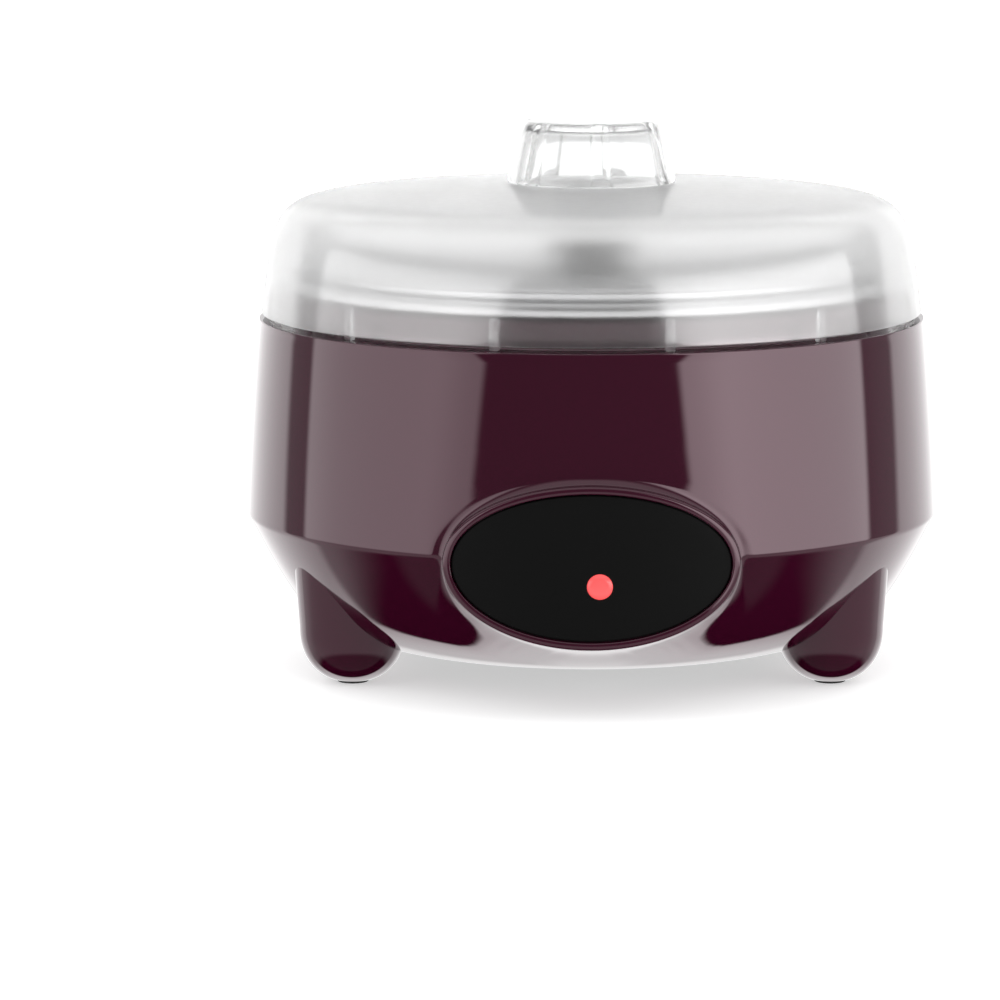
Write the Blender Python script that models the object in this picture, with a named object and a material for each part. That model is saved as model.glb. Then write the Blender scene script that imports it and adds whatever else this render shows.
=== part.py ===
"""A one-litre electric yogurt maker, built as the assembly that it is on a bench.

A glossy plastic housing stands on three feet. A liner hangs in it and holds a low heater under a steel
pot. The pot has a steel lid of its own, and a frosted dome with a fluted knob covers the top.
Lengths are in millimetres until the mesh is made. +Z is up, -Y is the front, and the origin is on the
centre line at the level that the feet stand on.
"""

import math

import bmesh
import bpy
from mathutils import Matrix, Vector

MM = 0.001
GAP = 0.3  # kept between neighbouring solids
OVER = 2.0  # how far a cutter runs past what it cuts

# How finely round things are divided.
RING = 36
MEDIUM_RING = 24
SMALL_RING = 16
SCREW_RING = 8

# Housing: a bowl below a sharp crease, a slightly barrelled wall above it.
BASE_Z = 6.5
BASE_R = 50.0
BOWL_Z, BOWL_R = 18.1, 76.1  # where the bowl turns from its steep side to its round bottom
CREASE_Z, CREASE_R = 38.7, 87.8
RIM_Z, RIM_R = 88.3, 84.45
BARREL = 0.25  # how far the wall swells past a straight line
WALL = 2.4
RIM_INNER_R = 82.0
LEDGE_Z, LEDGE_R = 86.0, 79.0  # the step that the liner's flange hangs on
BOTTOM_HOLE_R = 43.5
COVER_SEAT_R, COVER_SEAT_Z = 48.5, 10.3
BOTTOM_RING_R, BOTTOM_RING_Z = 54.0, 12.5
COVER_Z, COVER_TOP = 8.2, 10.0

# Oval window: a boss with a face curved about the centre line.
OVAL_Z = 37.4
BOSS_R = 88.9
BOSS_HALF = (35.8, 19.8)
BOSS_FLARE = math.radians(12)
BOSS_BACK_Y = -60.0
WINDOW_HALF = (33.5, 17.6)
WINDOW_FLOOR_R = 86.9
WINDOW_BACK_R, WINDOW_FRONT_R = WINDOW_FLOOR_R + GAP, 88.4
POCKET_HALF, POCKET_R, POCKET_BACK_Y = (31.0, 15.5), 84.9, -70.0  # hollow behind the window's floor

# Indicator, a little right of the middle and below it.
LAMP_X, LAMP_Z = 2.0, 33.0
LENS_R, LENS_FLANGE_R = 3.15, 4.2
LENS_BACK, LENS_FACE = 86.2, 88.55  # distances in front of the centre line
LED_R, LED_HOLE_R, LED_TIP = 2.4, 2.9, 85.6
BOARD_LEFT, BOARD_RIGHT, BOARD_LOW, BOARD_HIGH = -9.0, 13.0, 27.0, 39.0
BOARD_BACK_Y, BOARD_FRONT_Y = -78.0, -79.6
BOARD_POSTS = ((-6.5, 36.5), (10.5, 29.5))
BOARD_POST_R, BOARD_POST_LENGTH = 2.0, 6.2

# Feet, a third of a turn apart with one at the back.
FOOT_PITCH_R = 68.8
FOOT_ANGLES = {"front_left": -150, "front_right": -30, "rear": 90}
FOOT_WAIST_Z, FOOT_WAIST_R = 14.0, 13.3
FOOT_TOP_Z, FOOT_TOP_R = 32.0, 14.6
FOOT_SOLE_Z = 0.8
FOOT_SHAPE = 2.2  # exponent of the foot's rounded end
PAD_R, PAD_TOP_Z = 4.0, 2.4
FOOT_POST_R, FOOT_POST_Z = 4.2, 17.0
FOOT_SCREW_LENGTH = 12.0

# Liner, and the heater stack under its floor, from the top down.
LINER_IN_R, LINER_OUT_R, COLLAR_Z = 74.2, 75.9, 95.1
LINER_FLOOR_Z, LINER_FLOOR_TOP = 24.0, 25.7
LINER_HOLE_R = 55.0
FLANGE_R, FLANGE_TOP = RIM_INNER_R - GAP, 88.0
PLATE_R, PLATE_Z, PLATE_TOP = 60.0, LINER_FLOOR_TOP + GAP, 27.3
FILM_R, FILM_Z, FILM_TOP = 50.0, 25.2, 25.7
PAD_STACK_R, PAD_STACK_Z, PAD_STACK_TOP = 53.0, 21.0, 24.9
RETAINER_R, RETAINER_Z, RETAINER_TOP = 69.0, 19.9, 20.7
HEATER_BOSS_R, HEATER_BOSS_PITCH_R = 3.2, 65.0
HEATER_SCREW_LENGTH = 4.6
LEAD_HOLES = ((22.0, -8.0), (22.0, 8.0))  # where the two heater leads come down
LEAD_HOLE_R = 2.0

# Pot and its lid.
POT_R, POT_WALL, POT_Z, POT_RIM_TOP = 72.0, 0.7, PLATE_TOP + GAP, 99.7
POT_CORNER = 9.0
POT_RIM_R, POT_RIM_Z = 75.6, COLLAR_Z + GAP
LID_SHEET = 0.7
INNER_LID_R = 75.2
INNER_LID_Z = POT_RIM_TOP + GAP
INNER_LID_BEAD_TOP = 102.9
INNER_LID_CROWN_Z = 103.6
PLUG_R, PLUG_Z = 70.8, 98.6
INNER_KNOB_TOP = 111.0
INNER_SCREW_LENGTH = 5.8

# Frosted dome.
DOME_EDGE_Z, DOME_EDGE_R = 89.55, 83.85
DOME_SIDE_Z, DOME_SIDE_R = 101.7, 82.3
DOME_SHOULDER_R, DOME_SHOULDER_Z = 60.0, 119.8
DOME_TOP_Z = 122.0
DOME_WALL = 2.0
TAB_COUNT, TAB_TURN = 12, -1.6
TAB_WIDTH, TAB_IN_R, TAB_OUT_R, TAB_TOP_Z = 2.4, 80.0, 81.6, 96.0

# Fluted knob on the dome.
KNOB_BASE_R, KNOB_TOP_R = 21.2, 18.4
KNOB_TOP_Z = 137.9
KNOB_FLUTES, KNOB_TURN = 7, 6.3
KNOB_FLUTE_R = 2.6
KNOB_WALL = 2.4

# Cord gland in the back wall.
GLAND_Z = 50.0
GLAND_R, GLAND_FLANGE_R, GLAND_BORE_R = 5.1, 7.5, 3.6
GLAND_SEAT_Y = 86.4  # a flat seat sunk into the back wall

# Screws that hold the cover. The heater's screws are at the same angles.
BASE_SCREW_PITCH_R, BASE_SCREW_ANGLES = 45.8, (34, 154, 274)
COVER_POST_R, COVER_POST_Z = 3.4, 11.0
COVER_SCREW_LENGTH = 8.5

# Holes that the screws go through or bite into.
BOARD_BITE_R, BOARD_HOLE_R = 1.2, 1.4
SCREW_BITE_R, SCREW_HOLE_R = 1.6, 1.8

# Terminal block on the base cover.
TERMINAL_HALF, TERMINAL_Y, TERMINAL_TOP = (9.0, 6.0), 31.0, 18.0


# --- tools ---------------------------------------------------------------------------------------


def clear_scene():
    for obj in list(bpy.data.objects):
        bpy.data.objects.remove(obj)


def material(name, colour, roughness, metallic=0.0, alpha=1.0):
    made = bpy.data.materials.new(name)
    made.use_nodes = True
    shader = made.node_tree.nodes["Principled BSDF"]
    shader.inputs["Base Color"].default_value = (*colour, 1)
    shader.inputs["Roughness"].default_value = roughness
    shader.inputs["Metallic"].default_value = metallic
    shader.inputs["Alpha"].default_value = alpha
    return made


def add(name, mesh, finish=None, at=(0, 0, 0), parent=None):
    """An object of this mesh at a place in millimetres."""
    obj = bpy.data.objects.new(name, mesh)
    obj.location = Vector(at) * MM
    bpy.context.scene.collection.objects.link(obj)
    if finish and not mesh.materials:
        mesh.materials.append(finish)
    if parent:
        obj.parent = parent
        obj.location -= parent.location
    return obj


def joint_axis(name, z):
    """An empty on the centre line, which a lifting group hangs from."""
    empty = bpy.data.objects.new(name, None)
    empty.location = (0, 0, z * MM)
    bpy.context.scene.collection.objects.link(empty)
    return empty


def finish_mesh(bm, name):
    """The mesh of bm in metres, closed, facing out and shaded smooth between its sharp edges."""
    bmesh.ops.remove_doubles(bm, verts=bm.verts, dist=1e-4)
    bmesh.ops.recalc_face_normals(bm, faces=bm.faces)
    bmesh.ops.scale(bm, verts=bm.verts, vec=(MM, MM, MM))
    mesh = bpy.data.meshes.new(name)
    bm.to_mesh(mesh)
    bm.free()
    mesh.shade_smooth()
    mesh.set_sharp_from_angle(angle=math.radians(32))
    return mesh


def bezier(start, out_handle, in_handle, end, steps):
    """Points along a cubic curve, without its first."""
    points = []
    for i in range(1, steps + 1):
        t = i / steps
        weights = ((1 - t) ** 3, 3 * (1 - t) ** 2 * t, 3 * (1 - t) * t * t, t**3)
        corners = (start, out_handle, in_handle, end)
        points.append(tuple(sum(w * c[k] for w, c in zip(weights, corners)) for k in (0, 1)))
    return points


def offset(points, distance):
    """An open outline moved to its left by distance."""
    moved = []
    for i, (r, z) in enumerate(points):
        before, after = points[max(i - 1, 0)], points[min(i + 1, len(points) - 1)]
        along = Vector((after[0] - before[0], after[1] - before[1])).normalized()
        moved.append((r - along.y * distance, z + along.x * distance))
    return moved


def lathe(name, outline, steps=RING):
    """The mesh of a closed outline of (radius, height) turned about Z."""
    bm = bmesh.new()
    verts = [bm.verts.new((r, 0, z)) for r, z in outline]
    edges = [bm.edges.new((a, b)) for a, b in zip(verts, verts[1:] + verts[:1])]
    on_axis = [e for e in edges if all(v.co.x < 1e-6 for v in e.verts)]
    for edge in on_axis:
        edges.remove(edge)
        bm.edges.remove(edge)
    bmesh.ops.spin(
        bm, geom=verts + edges, axis=(0, 0, 1), cent=(0, 0, 0), angle=math.tau, steps=steps, use_merge=True
    )
    return finish_mesh(bm, name)


def rod(name, radius, length, steps=SMALL_RING, axis="Z"):
    """The mesh of a cylinder from the origin along +Z or +Y."""
    bm = bmesh.new()
    bmesh.ops.create_cone(
        bm, cap_ends=True, segments=steps, radius1=radius, radius2=radius, depth=length,
        matrix=Matrix.Translation((0, 0, length / 2)),
    )
    if axis == "Y":
        bmesh.ops.rotate(bm, verts=bm.verts, cent=(0, 0, 0), matrix=Matrix.Rotation(-math.pi / 2, 3, "X"))
    return finish_mesh(bm, name)


def block(name, low, high, bevel=0.0):
    """The mesh of a box between two corners."""
    bm = bmesh.new()
    size = Vector(high) - Vector(low)
    centre = (Vector(high) + Vector(low)) / 2
    bmesh.ops.create_cube(bm, size=1, matrix=Matrix.Translation(centre) @ Matrix.Diagonal((*size, 1)))
    if bevel:
        bmesh.ops.bevel(bm, geom=bm.edges[:], offset=bevel, segments=1, affect="EDGES")
    return finish_mesh(bm, name)


def oval(name, half, front_r, back, back_half=None, rings=3, steps=RING):
    """The mesh of an oval block whose front is curved about Z at front_r. back is the radius of a
    curved back, or the Y of a flat one if it is negative."""
    back_half = back_half or half

    def loop(bm, size, scale, curved_r, flat_y=None):
        verts = []
        for i in range(steps):
            turn = math.tau * i / steps
            x = size[0] * scale * math.cos(turn)
            z = OVAL_Z + size[1] * scale * math.sin(turn)
            y = flat_y if curved_r is None else -math.sqrt(curved_r**2 - x * x)
            verts.append(bm.verts.new((x, y, z)))
        return verts

    def bridge(bm, first, second):
        for i in range(steps):
            j = (i + 1) % steps
            bm.faces.new((first[i], first[j], second[j], second[i]))

    def cap(bm, outer, size, curved_r, flat_y=None):
        for ring in range(rings - 1, 0, -1):
            inner = loop(bm, size, ring / rings, curved_r, flat_y)
            bridge(bm, outer, inner)
            outer = inner
        y = flat_y if curved_r is None else -curved_r
        centre = bm.verts.new((0, y, OVAL_Z))
        for i in range(steps):
            bm.faces.new((outer[i], outer[(i + 1) % steps], centre))

    curved, flat = (back, None) if back > 0 else (None, back)
    bm = bmesh.new()
    front_edge = loop(bm, half, 1, front_r)
    back_edge = loop(bm, back_half, 1, curved, flat)
    bridge(bm, front_edge, back_edge)
    cap(bm, front_edge, half, front_r)
    cap(bm, back_edge, back_half, curved, flat)
    return finish_mesh(bm, name)


def shape(target, tool_mesh, operation, at=(0, 0, 0)):
    """Joins a tool to target or cuts it away. The tool stays in the scene, hidden, and is returned."""
    tool = add(f"tool_{target.name}_{len(target.modifiers)}", tool_mesh, at=at)
    tool.hide_render = True
    tool.display_type = "WIRE"
    modifier = target.modifiers.new(operation.lower(), "BOOLEAN")
    modifier.operation = operation
    modifier.object = tool
    modifier.solver = "EXACT"
    return tool


def joined(name, meshes):
    """One mesh of several (mesh, place, turn about Z in degrees), for a tool that repeats."""
    bm = bmesh.new()
    for mesh, at, turn in meshes:
        part = mesh.copy()
        part.transform(Matrix.Translation(Vector(at) * MM) @ Matrix.Rotation(math.radians(turn), 4, "Z"))
        bm.from_mesh(part)
    made = bpy.data.meshes.new(name)
    bm.to_mesh(made)
    bm.free()
    return made


def around(pitch_r, angle, z=0.0):
    """The point on a pitch circle at an angle in degrees."""
    turn = math.radians(angle)
    return (pitch_r * math.cos(turn), pitch_r * math.sin(turn), z)


def screw_mesh(name, head_r, head_h, shank_r, length):
    """A pan-head screw standing on its shank's tip at the origin, with a round driver recess."""
    recess_r, recess_depth = head_r * 0.42, head_h * 0.55
    top = length + head_h
    outline = [
        (0, 0), (shank_r, shank_r), (shank_r, length), (head_r, length), (head_r, length + head_h * 0.5),
        (head_r * 0.75, top), (recess_r, top), (recess_r, top - recess_depth), (0, top - recess_depth),
    ]
    return lathe(name, outline, SCREW_RING)


def wire(name, points, finish, radius=0.9):
    """An insulated lead along a smooth curve through its points."""
    knots = [Vector(p) for p in points]
    knots = [knots[0] * 2 - knots[1], *knots, knots[-1] * 2 - knots[-2]]
    route = []
    for a, b, c, d in zip(knots, knots[1:], knots[2:], knots[3:]):
        steps = max(2, round((c - b).length / (radius * 7)))
        for i in range(steps):
            t = i / steps
            square, cube = 2 * a - 5 * b + 4 * c - d, 3 * b - a - 3 * c + d
            route.append((2 * b + (c - a) * t + square * t**2 + cube * t**3) / 2)
    route.append(knots[-2])
    curve = bpy.data.curves.new(name, "CURVE")
    curve.dimensions = "3D"
    curve.bevel_depth = radius * MM
    curve.bevel_resolution = 1
    curve.use_fill_caps = True
    spline = curve.splines.new("POLY")
    spline.points.add(len(route) - 1)
    for point, place in zip(spline.points, route):
        point.co = (*(place * MM), 1)
    curve.materials.append(finish)
    obj = bpy.data.objects.new(name, curve)
    bpy.context.scene.collection.objects.link(obj)
    return obj


# --- outlines that several pieces share ----------------------------------------------------------


def bowl_outline():
    """The housing's outer line from its flat base up to the crease."""
    steep = Vector((0.72, 1.0)).normalized() * 10
    base, bend = (BASE_R, BASE_Z), (BOWL_R, BOWL_Z)
    crease = (CREASE_R - 0.35, CREASE_Z - 0.7)
    points = [base]
    points += bezier(base, (BASE_R + 8, BASE_Z), (BOWL_R - steep.x, BOWL_Z - steep.y), bend, 6)
    points += bezier(bend, (BOWL_R + 4.7, BOWL_Z + 6.6), (84.4, 32.0), crease, 3)
    return points


def wall_outline():
    """The housing's outer line from the crease to the rim."""
    lean = (CREASE_R - RIM_R) / 3
    rise = (RIM_Z - CREASE_Z) / 3
    swell = BARREL * 4 / 3
    start = (CREASE_R, CREASE_Z + 0.4)
    first = (CREASE_R - lean + swell, CREASE_Z + rise)
    second = (CREASE_R - 2 * lean + swell, CREASE_Z + 2 * rise)
    end = (RIM_R, RIM_Z - 0.5)
    return [start, *bezier(start, first, second, end, 3)]


def dome_outline():
    """The dome's outer line from its edge to the middle."""
    side = (DOME_SIDE_R, DOME_SIDE_Z)
    shoulder = (DOME_SHOULDER_R, DOME_SHOULDER_Z)
    points = [(DOME_EDGE_R, DOME_EDGE_Z), side]
    over = (DOME_SHOULDER_R + 17, DOME_SHOULDER_Z - 1.1)
    points += bezier(side, (DOME_SIDE_R - 2.2, DOME_SIDE_Z + 15.5), over, shoulder, 7)
    points += bezier(shoulder, (45, 120.8), (20, DOME_TOP_Z), (0, DOME_TOP_Z), 2)
    return points


# --- housing -------------------------------------------------------------------------------------


def body_shell(finish):
    outer = bowl_outline() + wall_outline()
    mesh = lathe("body_shell", [(0, BASE_Z), *outer, (RIM_R - 0.5, RIM_Z), (0, RIM_Z)])
    shell = add("body_shell", mesh, finish)

    flare = (BOSS_R + BOSS_BACK_Y) * math.tan(BOSS_FLARE)
    back_half = (BOSS_HALF[0] + flare, BOSS_HALF[1] + flare)
    shape(shell, oval("boss", BOSS_HALF, BOSS_R, BOSS_BACK_Y, back_half), "UNION")

    inner = [p for p in offset(outer, WALL) if p[1] > BOTTOM_RING_Z and p[1] < LEDGE_Z - 6]
    cavity = [
        (0, BASE_Z - OVER), (BOTTOM_HOLE_R, BASE_Z - OVER), (BOTTOM_HOLE_R, BOTTOM_RING_Z),
        (BOTTOM_RING_R, BOTTOM_RING_Z), *inner, (RIM_R - WALL + 0.4, LEDGE_Z - 5), (LEDGE_R, LEDGE_Z - 1.5),
        (LEDGE_R, LEDGE_Z), (RIM_INNER_R, LEDGE_Z), (RIM_INNER_R, RIM_Z + OVER), (0, RIM_Z + OVER),
    ]
    hollow = shape(shell, lathe("cavity", cavity), "DIFFERENCE")
    cover_post = rod("post", COVER_POST_R, 7)
    posts = [(cover_post, around(BASE_SCREW_PITCH_R, a, COVER_POST_Z), 0) for a in BASE_SCREW_ANGLES]
    posts += [
        (rod("foot_post", FOOT_POST_R, FOOT_POST_Z), around(FOOT_PITCH_R, a), 0) for a in FOOT_ANGLES.values()
    ]
    shape(hollow, joined("posts", posts), "DIFFERENCE")
    seat = rod("cover_seat", COVER_SEAT_R, COVER_SEAT_Z - BASE_Z + OVER, RING)
    shape(shell, seat, "DIFFERENCE", at=(0, 0, BASE_Z - OVER))

    recess_half = (WINDOW_HALF[0] + GAP, WINDOW_HALF[1] + GAP)
    shape(shell, oval("recess", recess_half, BOSS_R + OVER, WINDOW_FLOOR_R), "DIFFERENCE")
    shape(shell, oval("pocket", POCKET_HALF, POCKET_R, POCKET_BACK_Y), "DIFFERENCE")

    post_y = BOARD_FRONT_Y - GAP - BOARD_POST_LENGTH
    board_posts = [
        (rod("post", BOARD_POST_R, BOARD_POST_LENGTH, MEDIUM_RING // 2, "Y"), (x, post_y, z), 0)
        for x, z in BOARD_POSTS
    ]
    shape(shell, joined("board_posts", board_posts), "UNION")

    bite = rod("bite", SCREW_BITE_R, 22, SCREW_RING)
    holes = [(bite, around(BASE_SCREW_PITCH_R, a, 5), 0) for a in BASE_SCREW_ANGLES]
    foot_hole = rod("foot_hole", SCREW_HOLE_R, 20, SCREW_RING)
    holes += [(foot_hole, around(FOOT_PITCH_R, a, 5), 0) for a in FOOT_ANGLES.values()]
    board_bite = rod("board_bite", BOARD_BITE_R, 4, SCREW_RING, "Y")
    holes += [(board_bite, (x, BOARD_FRONT_Y - GAP - 3, z), 0) for x, z in BOARD_POSTS]
    holes.append((rod("led_hole", LED_HOLE_R, 10, axis="Y"), (LAMP_X, -92, LAMP_Z), 0))
    holes.append((rod("gland_hole", GLAND_R + GAP, 10, SMALL_RING, "Y"), (0, 80, GLAND_Z), 0))
    shape(shell, joined("holes", holes), "DIFFERENCE")
    gland_seat = rod("gland_seat", GLAND_FLANGE_R + GAP, 5, SMALL_RING, "Y")
    shape(shell, gland_seat, "DIFFERENCE", at=(0, GLAND_SEAT_Y, GLAND_Z))
    lens_seat = rod("lens_seat", LENS_FLANGE_R + GAP, 4, axis="Y")
    shape(shell, lens_seat, "DIFFERENCE", at=(LAMP_X, GAP - LENS_BACK - 4, LAMP_Z))


def window_and_lamp(black, red, board_green, led_clear, steel):
    window = add("front_window", oval("front_window", WINDOW_HALF, WINDOW_FRONT_R, WINDOW_BACK_R), black)
    hole = rod("window_hole", LENS_R + GAP, 6, axis="Y")
    shape(window, hole, "DIFFERENCE", at=(LAMP_X, -91, LAMP_Z))

    flange_front = WINDOW_BACK_R - GAP
    lens_outline = [
        (0, LENS_BACK), (LENS_FLANGE_R, LENS_BACK), (LENS_FLANGE_R, flange_front),
        (LENS_R, flange_front), (LENS_R, LENS_FACE - 0.3), (LENS_R - 0.4, LENS_FACE), (0, LENS_FACE),
    ]
    lens = lathe("indicator_lens", lens_outline, SMALL_RING)
    lens.transform(Matrix.Rotation(math.pi / 2, 4, "X"))
    add("indicator_lens", lens, red, at=(LAMP_X, 0, LAMP_Z))

    low, high = (BOARD_LEFT, BOARD_FRONT_Y, BOARD_LOW), (BOARD_RIGHT, BOARD_BACK_Y, BOARD_HIGH)
    board = add("lamp_board", block("lamp_board", low, high), board_green)
    holes = [(rod("hole", BOARD_HOLE_R, 6, SCREW_RING, "Y"), (x, -82, z), 0) for x, z in BOARD_POSTS]
    shape(board, joined("board_holes", holes), "DIFFERENCE")

    base = -BOARD_FRONT_Y + GAP
    led_outline = [
        (0, base), (LED_R + 0.4, base), (LED_R + 0.4, base + 0.8), (LED_R, base + 0.8),
        (LED_R, LED_TIP - 1.8), (LED_R * 0.7, LED_TIP - 0.6), (0, LED_TIP),
    ]
    led = lathe("indicator_led", led_outline, SCREW_RING)
    led.transform(Matrix.Rotation(math.pi / 2, 4, "X"))
    add("indicator_led", led, led_clear, at=(LAMP_X, 0, LAMP_Z))

    length = 4.2
    screw = screw_mesh("board_screw", 1.8, 1.1, 0.85, length)
    screw.transform(Matrix.Rotation(-math.pi / 2, 4, "X"))
    for side, (x, z) in zip(("left", "right"), BOARD_POSTS):
        add(f"board_screw_{side}", screw, steel, at=(x, BOARD_BACK_Y + GAP - length, z))


def feet(body, rubber, steel):
    rise = FOOT_WAIST_Z - FOOT_SOLE_Z
    ends = [FOOT_SOLE_Z + rise * (1 - math.cos(math.pi / 2 * i / 5)) for i in range(5)]
    rounded = [
        (FOOT_WAIST_R * (1 - ((FOOT_WAIST_Z - z) / FOOT_WAIST_Z) ** FOOT_SHAPE) ** (1 / FOOT_SHAPE), z)
        for z in ends
    ]
    recess_r, recess_z = PAD_R + 0.2, PAD_TOP_Z + GAP
    outline = [(0, recess_z), (recess_r, recess_z), (recess_r, FOOT_SOLE_Z), *rounded]
    outline += [(FOOT_WAIST_R, FOOT_WAIST_Z), (FOOT_TOP_R, FOOT_TOP_Z), (0, FOOT_TOP_Z)]
    foot_mesh = lathe("foot", outline, MEDIUM_RING)

    outside = offset(bowl_outline() + wall_outline()[:2], -GAP)
    cutter = lathe("bowl_cutter", [(0, BASE_Z - GAP), *outside, (0, outside[-1][1])], RING)
    hole = rod("foot_hole", SCREW_HOLE_R, 20, SCREW_RING)
    pad = lathe(
        "foot_pad",
        [(0, 0), (PAD_R - 0.5, 0), (PAD_R, 0.5), (PAD_R, PAD_TOP_Z), (0, PAD_TOP_Z)],
        SMALL_RING,
    )
    screw = screw_mesh("foot_screw", 2.8, 1.6, 1.5, FOOT_SCREW_LENGTH)
    screw_z = FOOT_POST_Z + GAP - FOOT_SCREW_LENGTH
    for side, angle in FOOT_ANGLES.items():
        at = around(FOOT_PITCH_R, angle)
        foot = add(f"foot_{side}", foot_mesh.copy(), body, at=at)
        shape(foot, cutter.copy(), "DIFFERENCE")
        shape(foot, hole.copy(), "DIFFERENCE", at=(at[0], at[1], screw_z - 0.7))
        add(f"foot_pad_{side}", pad, rubber, at=at)
        add(f"foot_screw_{side}", screw, steel, at=(at[0], at[1], screw_z))


def base_cover(black, steel):
    disc = rod("base_cover", COVER_SEAT_R - GAP, COVER_TOP - COVER_Z, RING)
    cover = add("base_cover", disc, black, at=(0, 0, COVER_Z))
    slots = [
        (block("slot", (14, -1.3, -OVER), (32, 1.3, 2 * OVER)), (0, 0, COVER_Z), 60 * i)
        for i in range(6)
    ]
    hole = rod("hole", SCREW_HOLE_R, 8, SCREW_RING)
    holes = [(hole, around(BASE_SCREW_PITCH_R, a, 5), 0) for a in BASE_SCREW_ANGLES]
    shape(cover, joined("cover_cuts", slots + holes), "DIFFERENCE")
    screw = screw_mesh("cover_screw", 2.6, 1.2, 1.3, COVER_SCREW_LENGTH)
    screw.transform(Matrix.Rotation(math.pi, 4, "X"))
    tip_z = COVER_Z - GAP + COVER_SCREW_LENGTH
    for number, angle in enumerate(BASE_SCREW_ANGLES, 1):
        add(f"cover_screw_{number}", screw, steel, at=around(BASE_SCREW_PITCH_R, angle, tip_z))


def cord_gland(black):
    """A bush with a flange each side of the wall, which the supply cord comes through."""
    flange_in, flange_out = GLAND_SEAT_Y + GAP, BOSS_R
    outline = [
        (GLAND_BORE_R, 80.6), (GLAND_R + 1.3, 80.6), (GLAND_R + 1.3, 82.6), (GLAND_R, 84.0),
        (GLAND_R, flange_in), (GLAND_FLANGE_R, flange_in), (GLAND_FLANGE_R, flange_out - 0.6),
        (GLAND_FLANGE_R - 0.7, flange_out), (GLAND_BORE_R + 0.6, flange_out), (GLAND_BORE_R, flange_out - 0.6),
    ]
    mesh = lathe("cord_gland", outline, SMALL_RING)
    mesh.transform(Matrix.Rotation(-math.pi / 2, 4, "X"))
    add("cord_gland", mesh, black, at=(0, 0, GLAND_Z))


# --- liner and heater ----------------------------------------------------------------------------


def inner_liner(finish):
    outline = [
        (LINER_HOLE_R, LINER_FLOOR_Z), (LINER_OUT_R - 2, LINER_FLOOR_Z), (LINER_OUT_R, LINER_FLOOR_Z + 2),
        (LINER_OUT_R, LEDGE_Z + GAP), (FLANGE_R, LEDGE_Z + GAP), (FLANGE_R, FLANGE_TOP),
        (LINER_OUT_R + 0.4, FLANGE_TOP), (LINER_OUT_R, FLANGE_TOP + 0.4), (LINER_OUT_R, COLLAR_Z - 0.4),
        (LINER_OUT_R - 0.4, COLLAR_Z), (LINER_IN_R, COLLAR_Z), (LINER_IN_R, LINER_FLOOR_TOP + 1.8),
        (LINER_IN_R - 1.8, LINER_FLOOR_TOP), (LINER_HOLE_R, LINER_FLOOR_TOP),
    ]
    liner = add("inner_liner", lathe("inner_liner", outline), finish)
    bosses = [
        (rod("boss", HEATER_BOSS_R, 4, SCREW_RING), around(HEATER_BOSS_PITCH_R, a, RETAINER_TOP + GAP), 0)
        for a in BASE_SCREW_ANGLES
    ]
    bite = rod("bite", SCREW_BITE_R, 6, SCREW_RING)
    holes = [(bite, around(HEATER_BOSS_PITCH_R, a, 18.9), 0) for a in BASE_SCREW_ANGLES]
    shape(liner, joined("bosses", bosses), "UNION")
    shape(liner, joined("boss_holes", holes), "DIFFERENCE")


def heater(aluminium, film_brown, felt, steel, black, brass):
    plate = [
        (0, PLATE_Z), (PLATE_R - 0.5, PLATE_Z), (PLATE_R, PLATE_Z + 0.5), (PLATE_R, PLATE_TOP - 0.4),
        (PLATE_R - 0.4, PLATE_TOP), (0, PLATE_TOP),
    ]
    add("heating_plate", lathe("heating_plate", plate), aluminium)
    add("heater_film", rod("heater_film", FILM_R, FILM_TOP - FILM_Z, RING), film_brown, at=(0, 0, FILM_Z))

    leads = [(rod("hole", LEAD_HOLE_R, 12, SCREW_RING), (x, y, 15), 0) for x, y in LEAD_HOLES]
    pad_height = PAD_STACK_TOP - PAD_STACK_Z
    pad = rod("insulation_pad", PAD_STACK_R, pad_height, MEDIUM_RING)
    insulation = add("insulation_pad", pad, felt, at=(0, 0, PAD_STACK_Z))
    shape(insulation, joined("pad_holes", leads), "DIFFERENCE")

    sheet = rod("heater_retainer", RETAINER_R, RETAINER_TOP - RETAINER_Z, RING)
    retainer = add("heater_retainer", sheet, steel, at=(0, 0, RETAINER_Z))
    hole = rod("hole", SCREW_BITE_R, 8, SCREW_RING)
    holes = [(hole, around(HEATER_BOSS_PITCH_R, a, 16), 0) for a in BASE_SCREW_ANGLES]
    shape(retainer, joined("retainer_holes", leads + holes), "DIFFERENCE")
    screw = screw_mesh("heater_screw", 2.6, 1.5, 1.3, HEATER_SCREW_LENGTH)
    screw.transform(Matrix.Rotation(math.pi, 4, "X"))
    tip_z = RETAINER_Z - GAP + HEATER_SCREW_LENGTH
    for number, angle in enumerate(BASE_SCREW_ANGLES, 1):
        add(f"heater_screw_{number}", screw, steel, at=around(HEATER_BOSS_PITCH_R, angle, tip_z))

    can = [
        (0, 11.4), (6.6, 11.4), (6.6, 15.6), (8.0, 15.6), (8.0, 19.2), (6.8, RETAINER_Z - GAP),
        (0, RETAINER_Z - GAP),
    ]
    add("thermostat", lathe("thermostat", can, SMALL_RING), black)
    fuse = rod("thermal_fuse", 1.9, 12, SCREW_RING, "Y")
    fuse.transform(Matrix.Rotation(math.pi / 2, 4, "Z"))
    add("thermal_fuse", fuse, brass, at=(-14, 8, 17))


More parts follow.
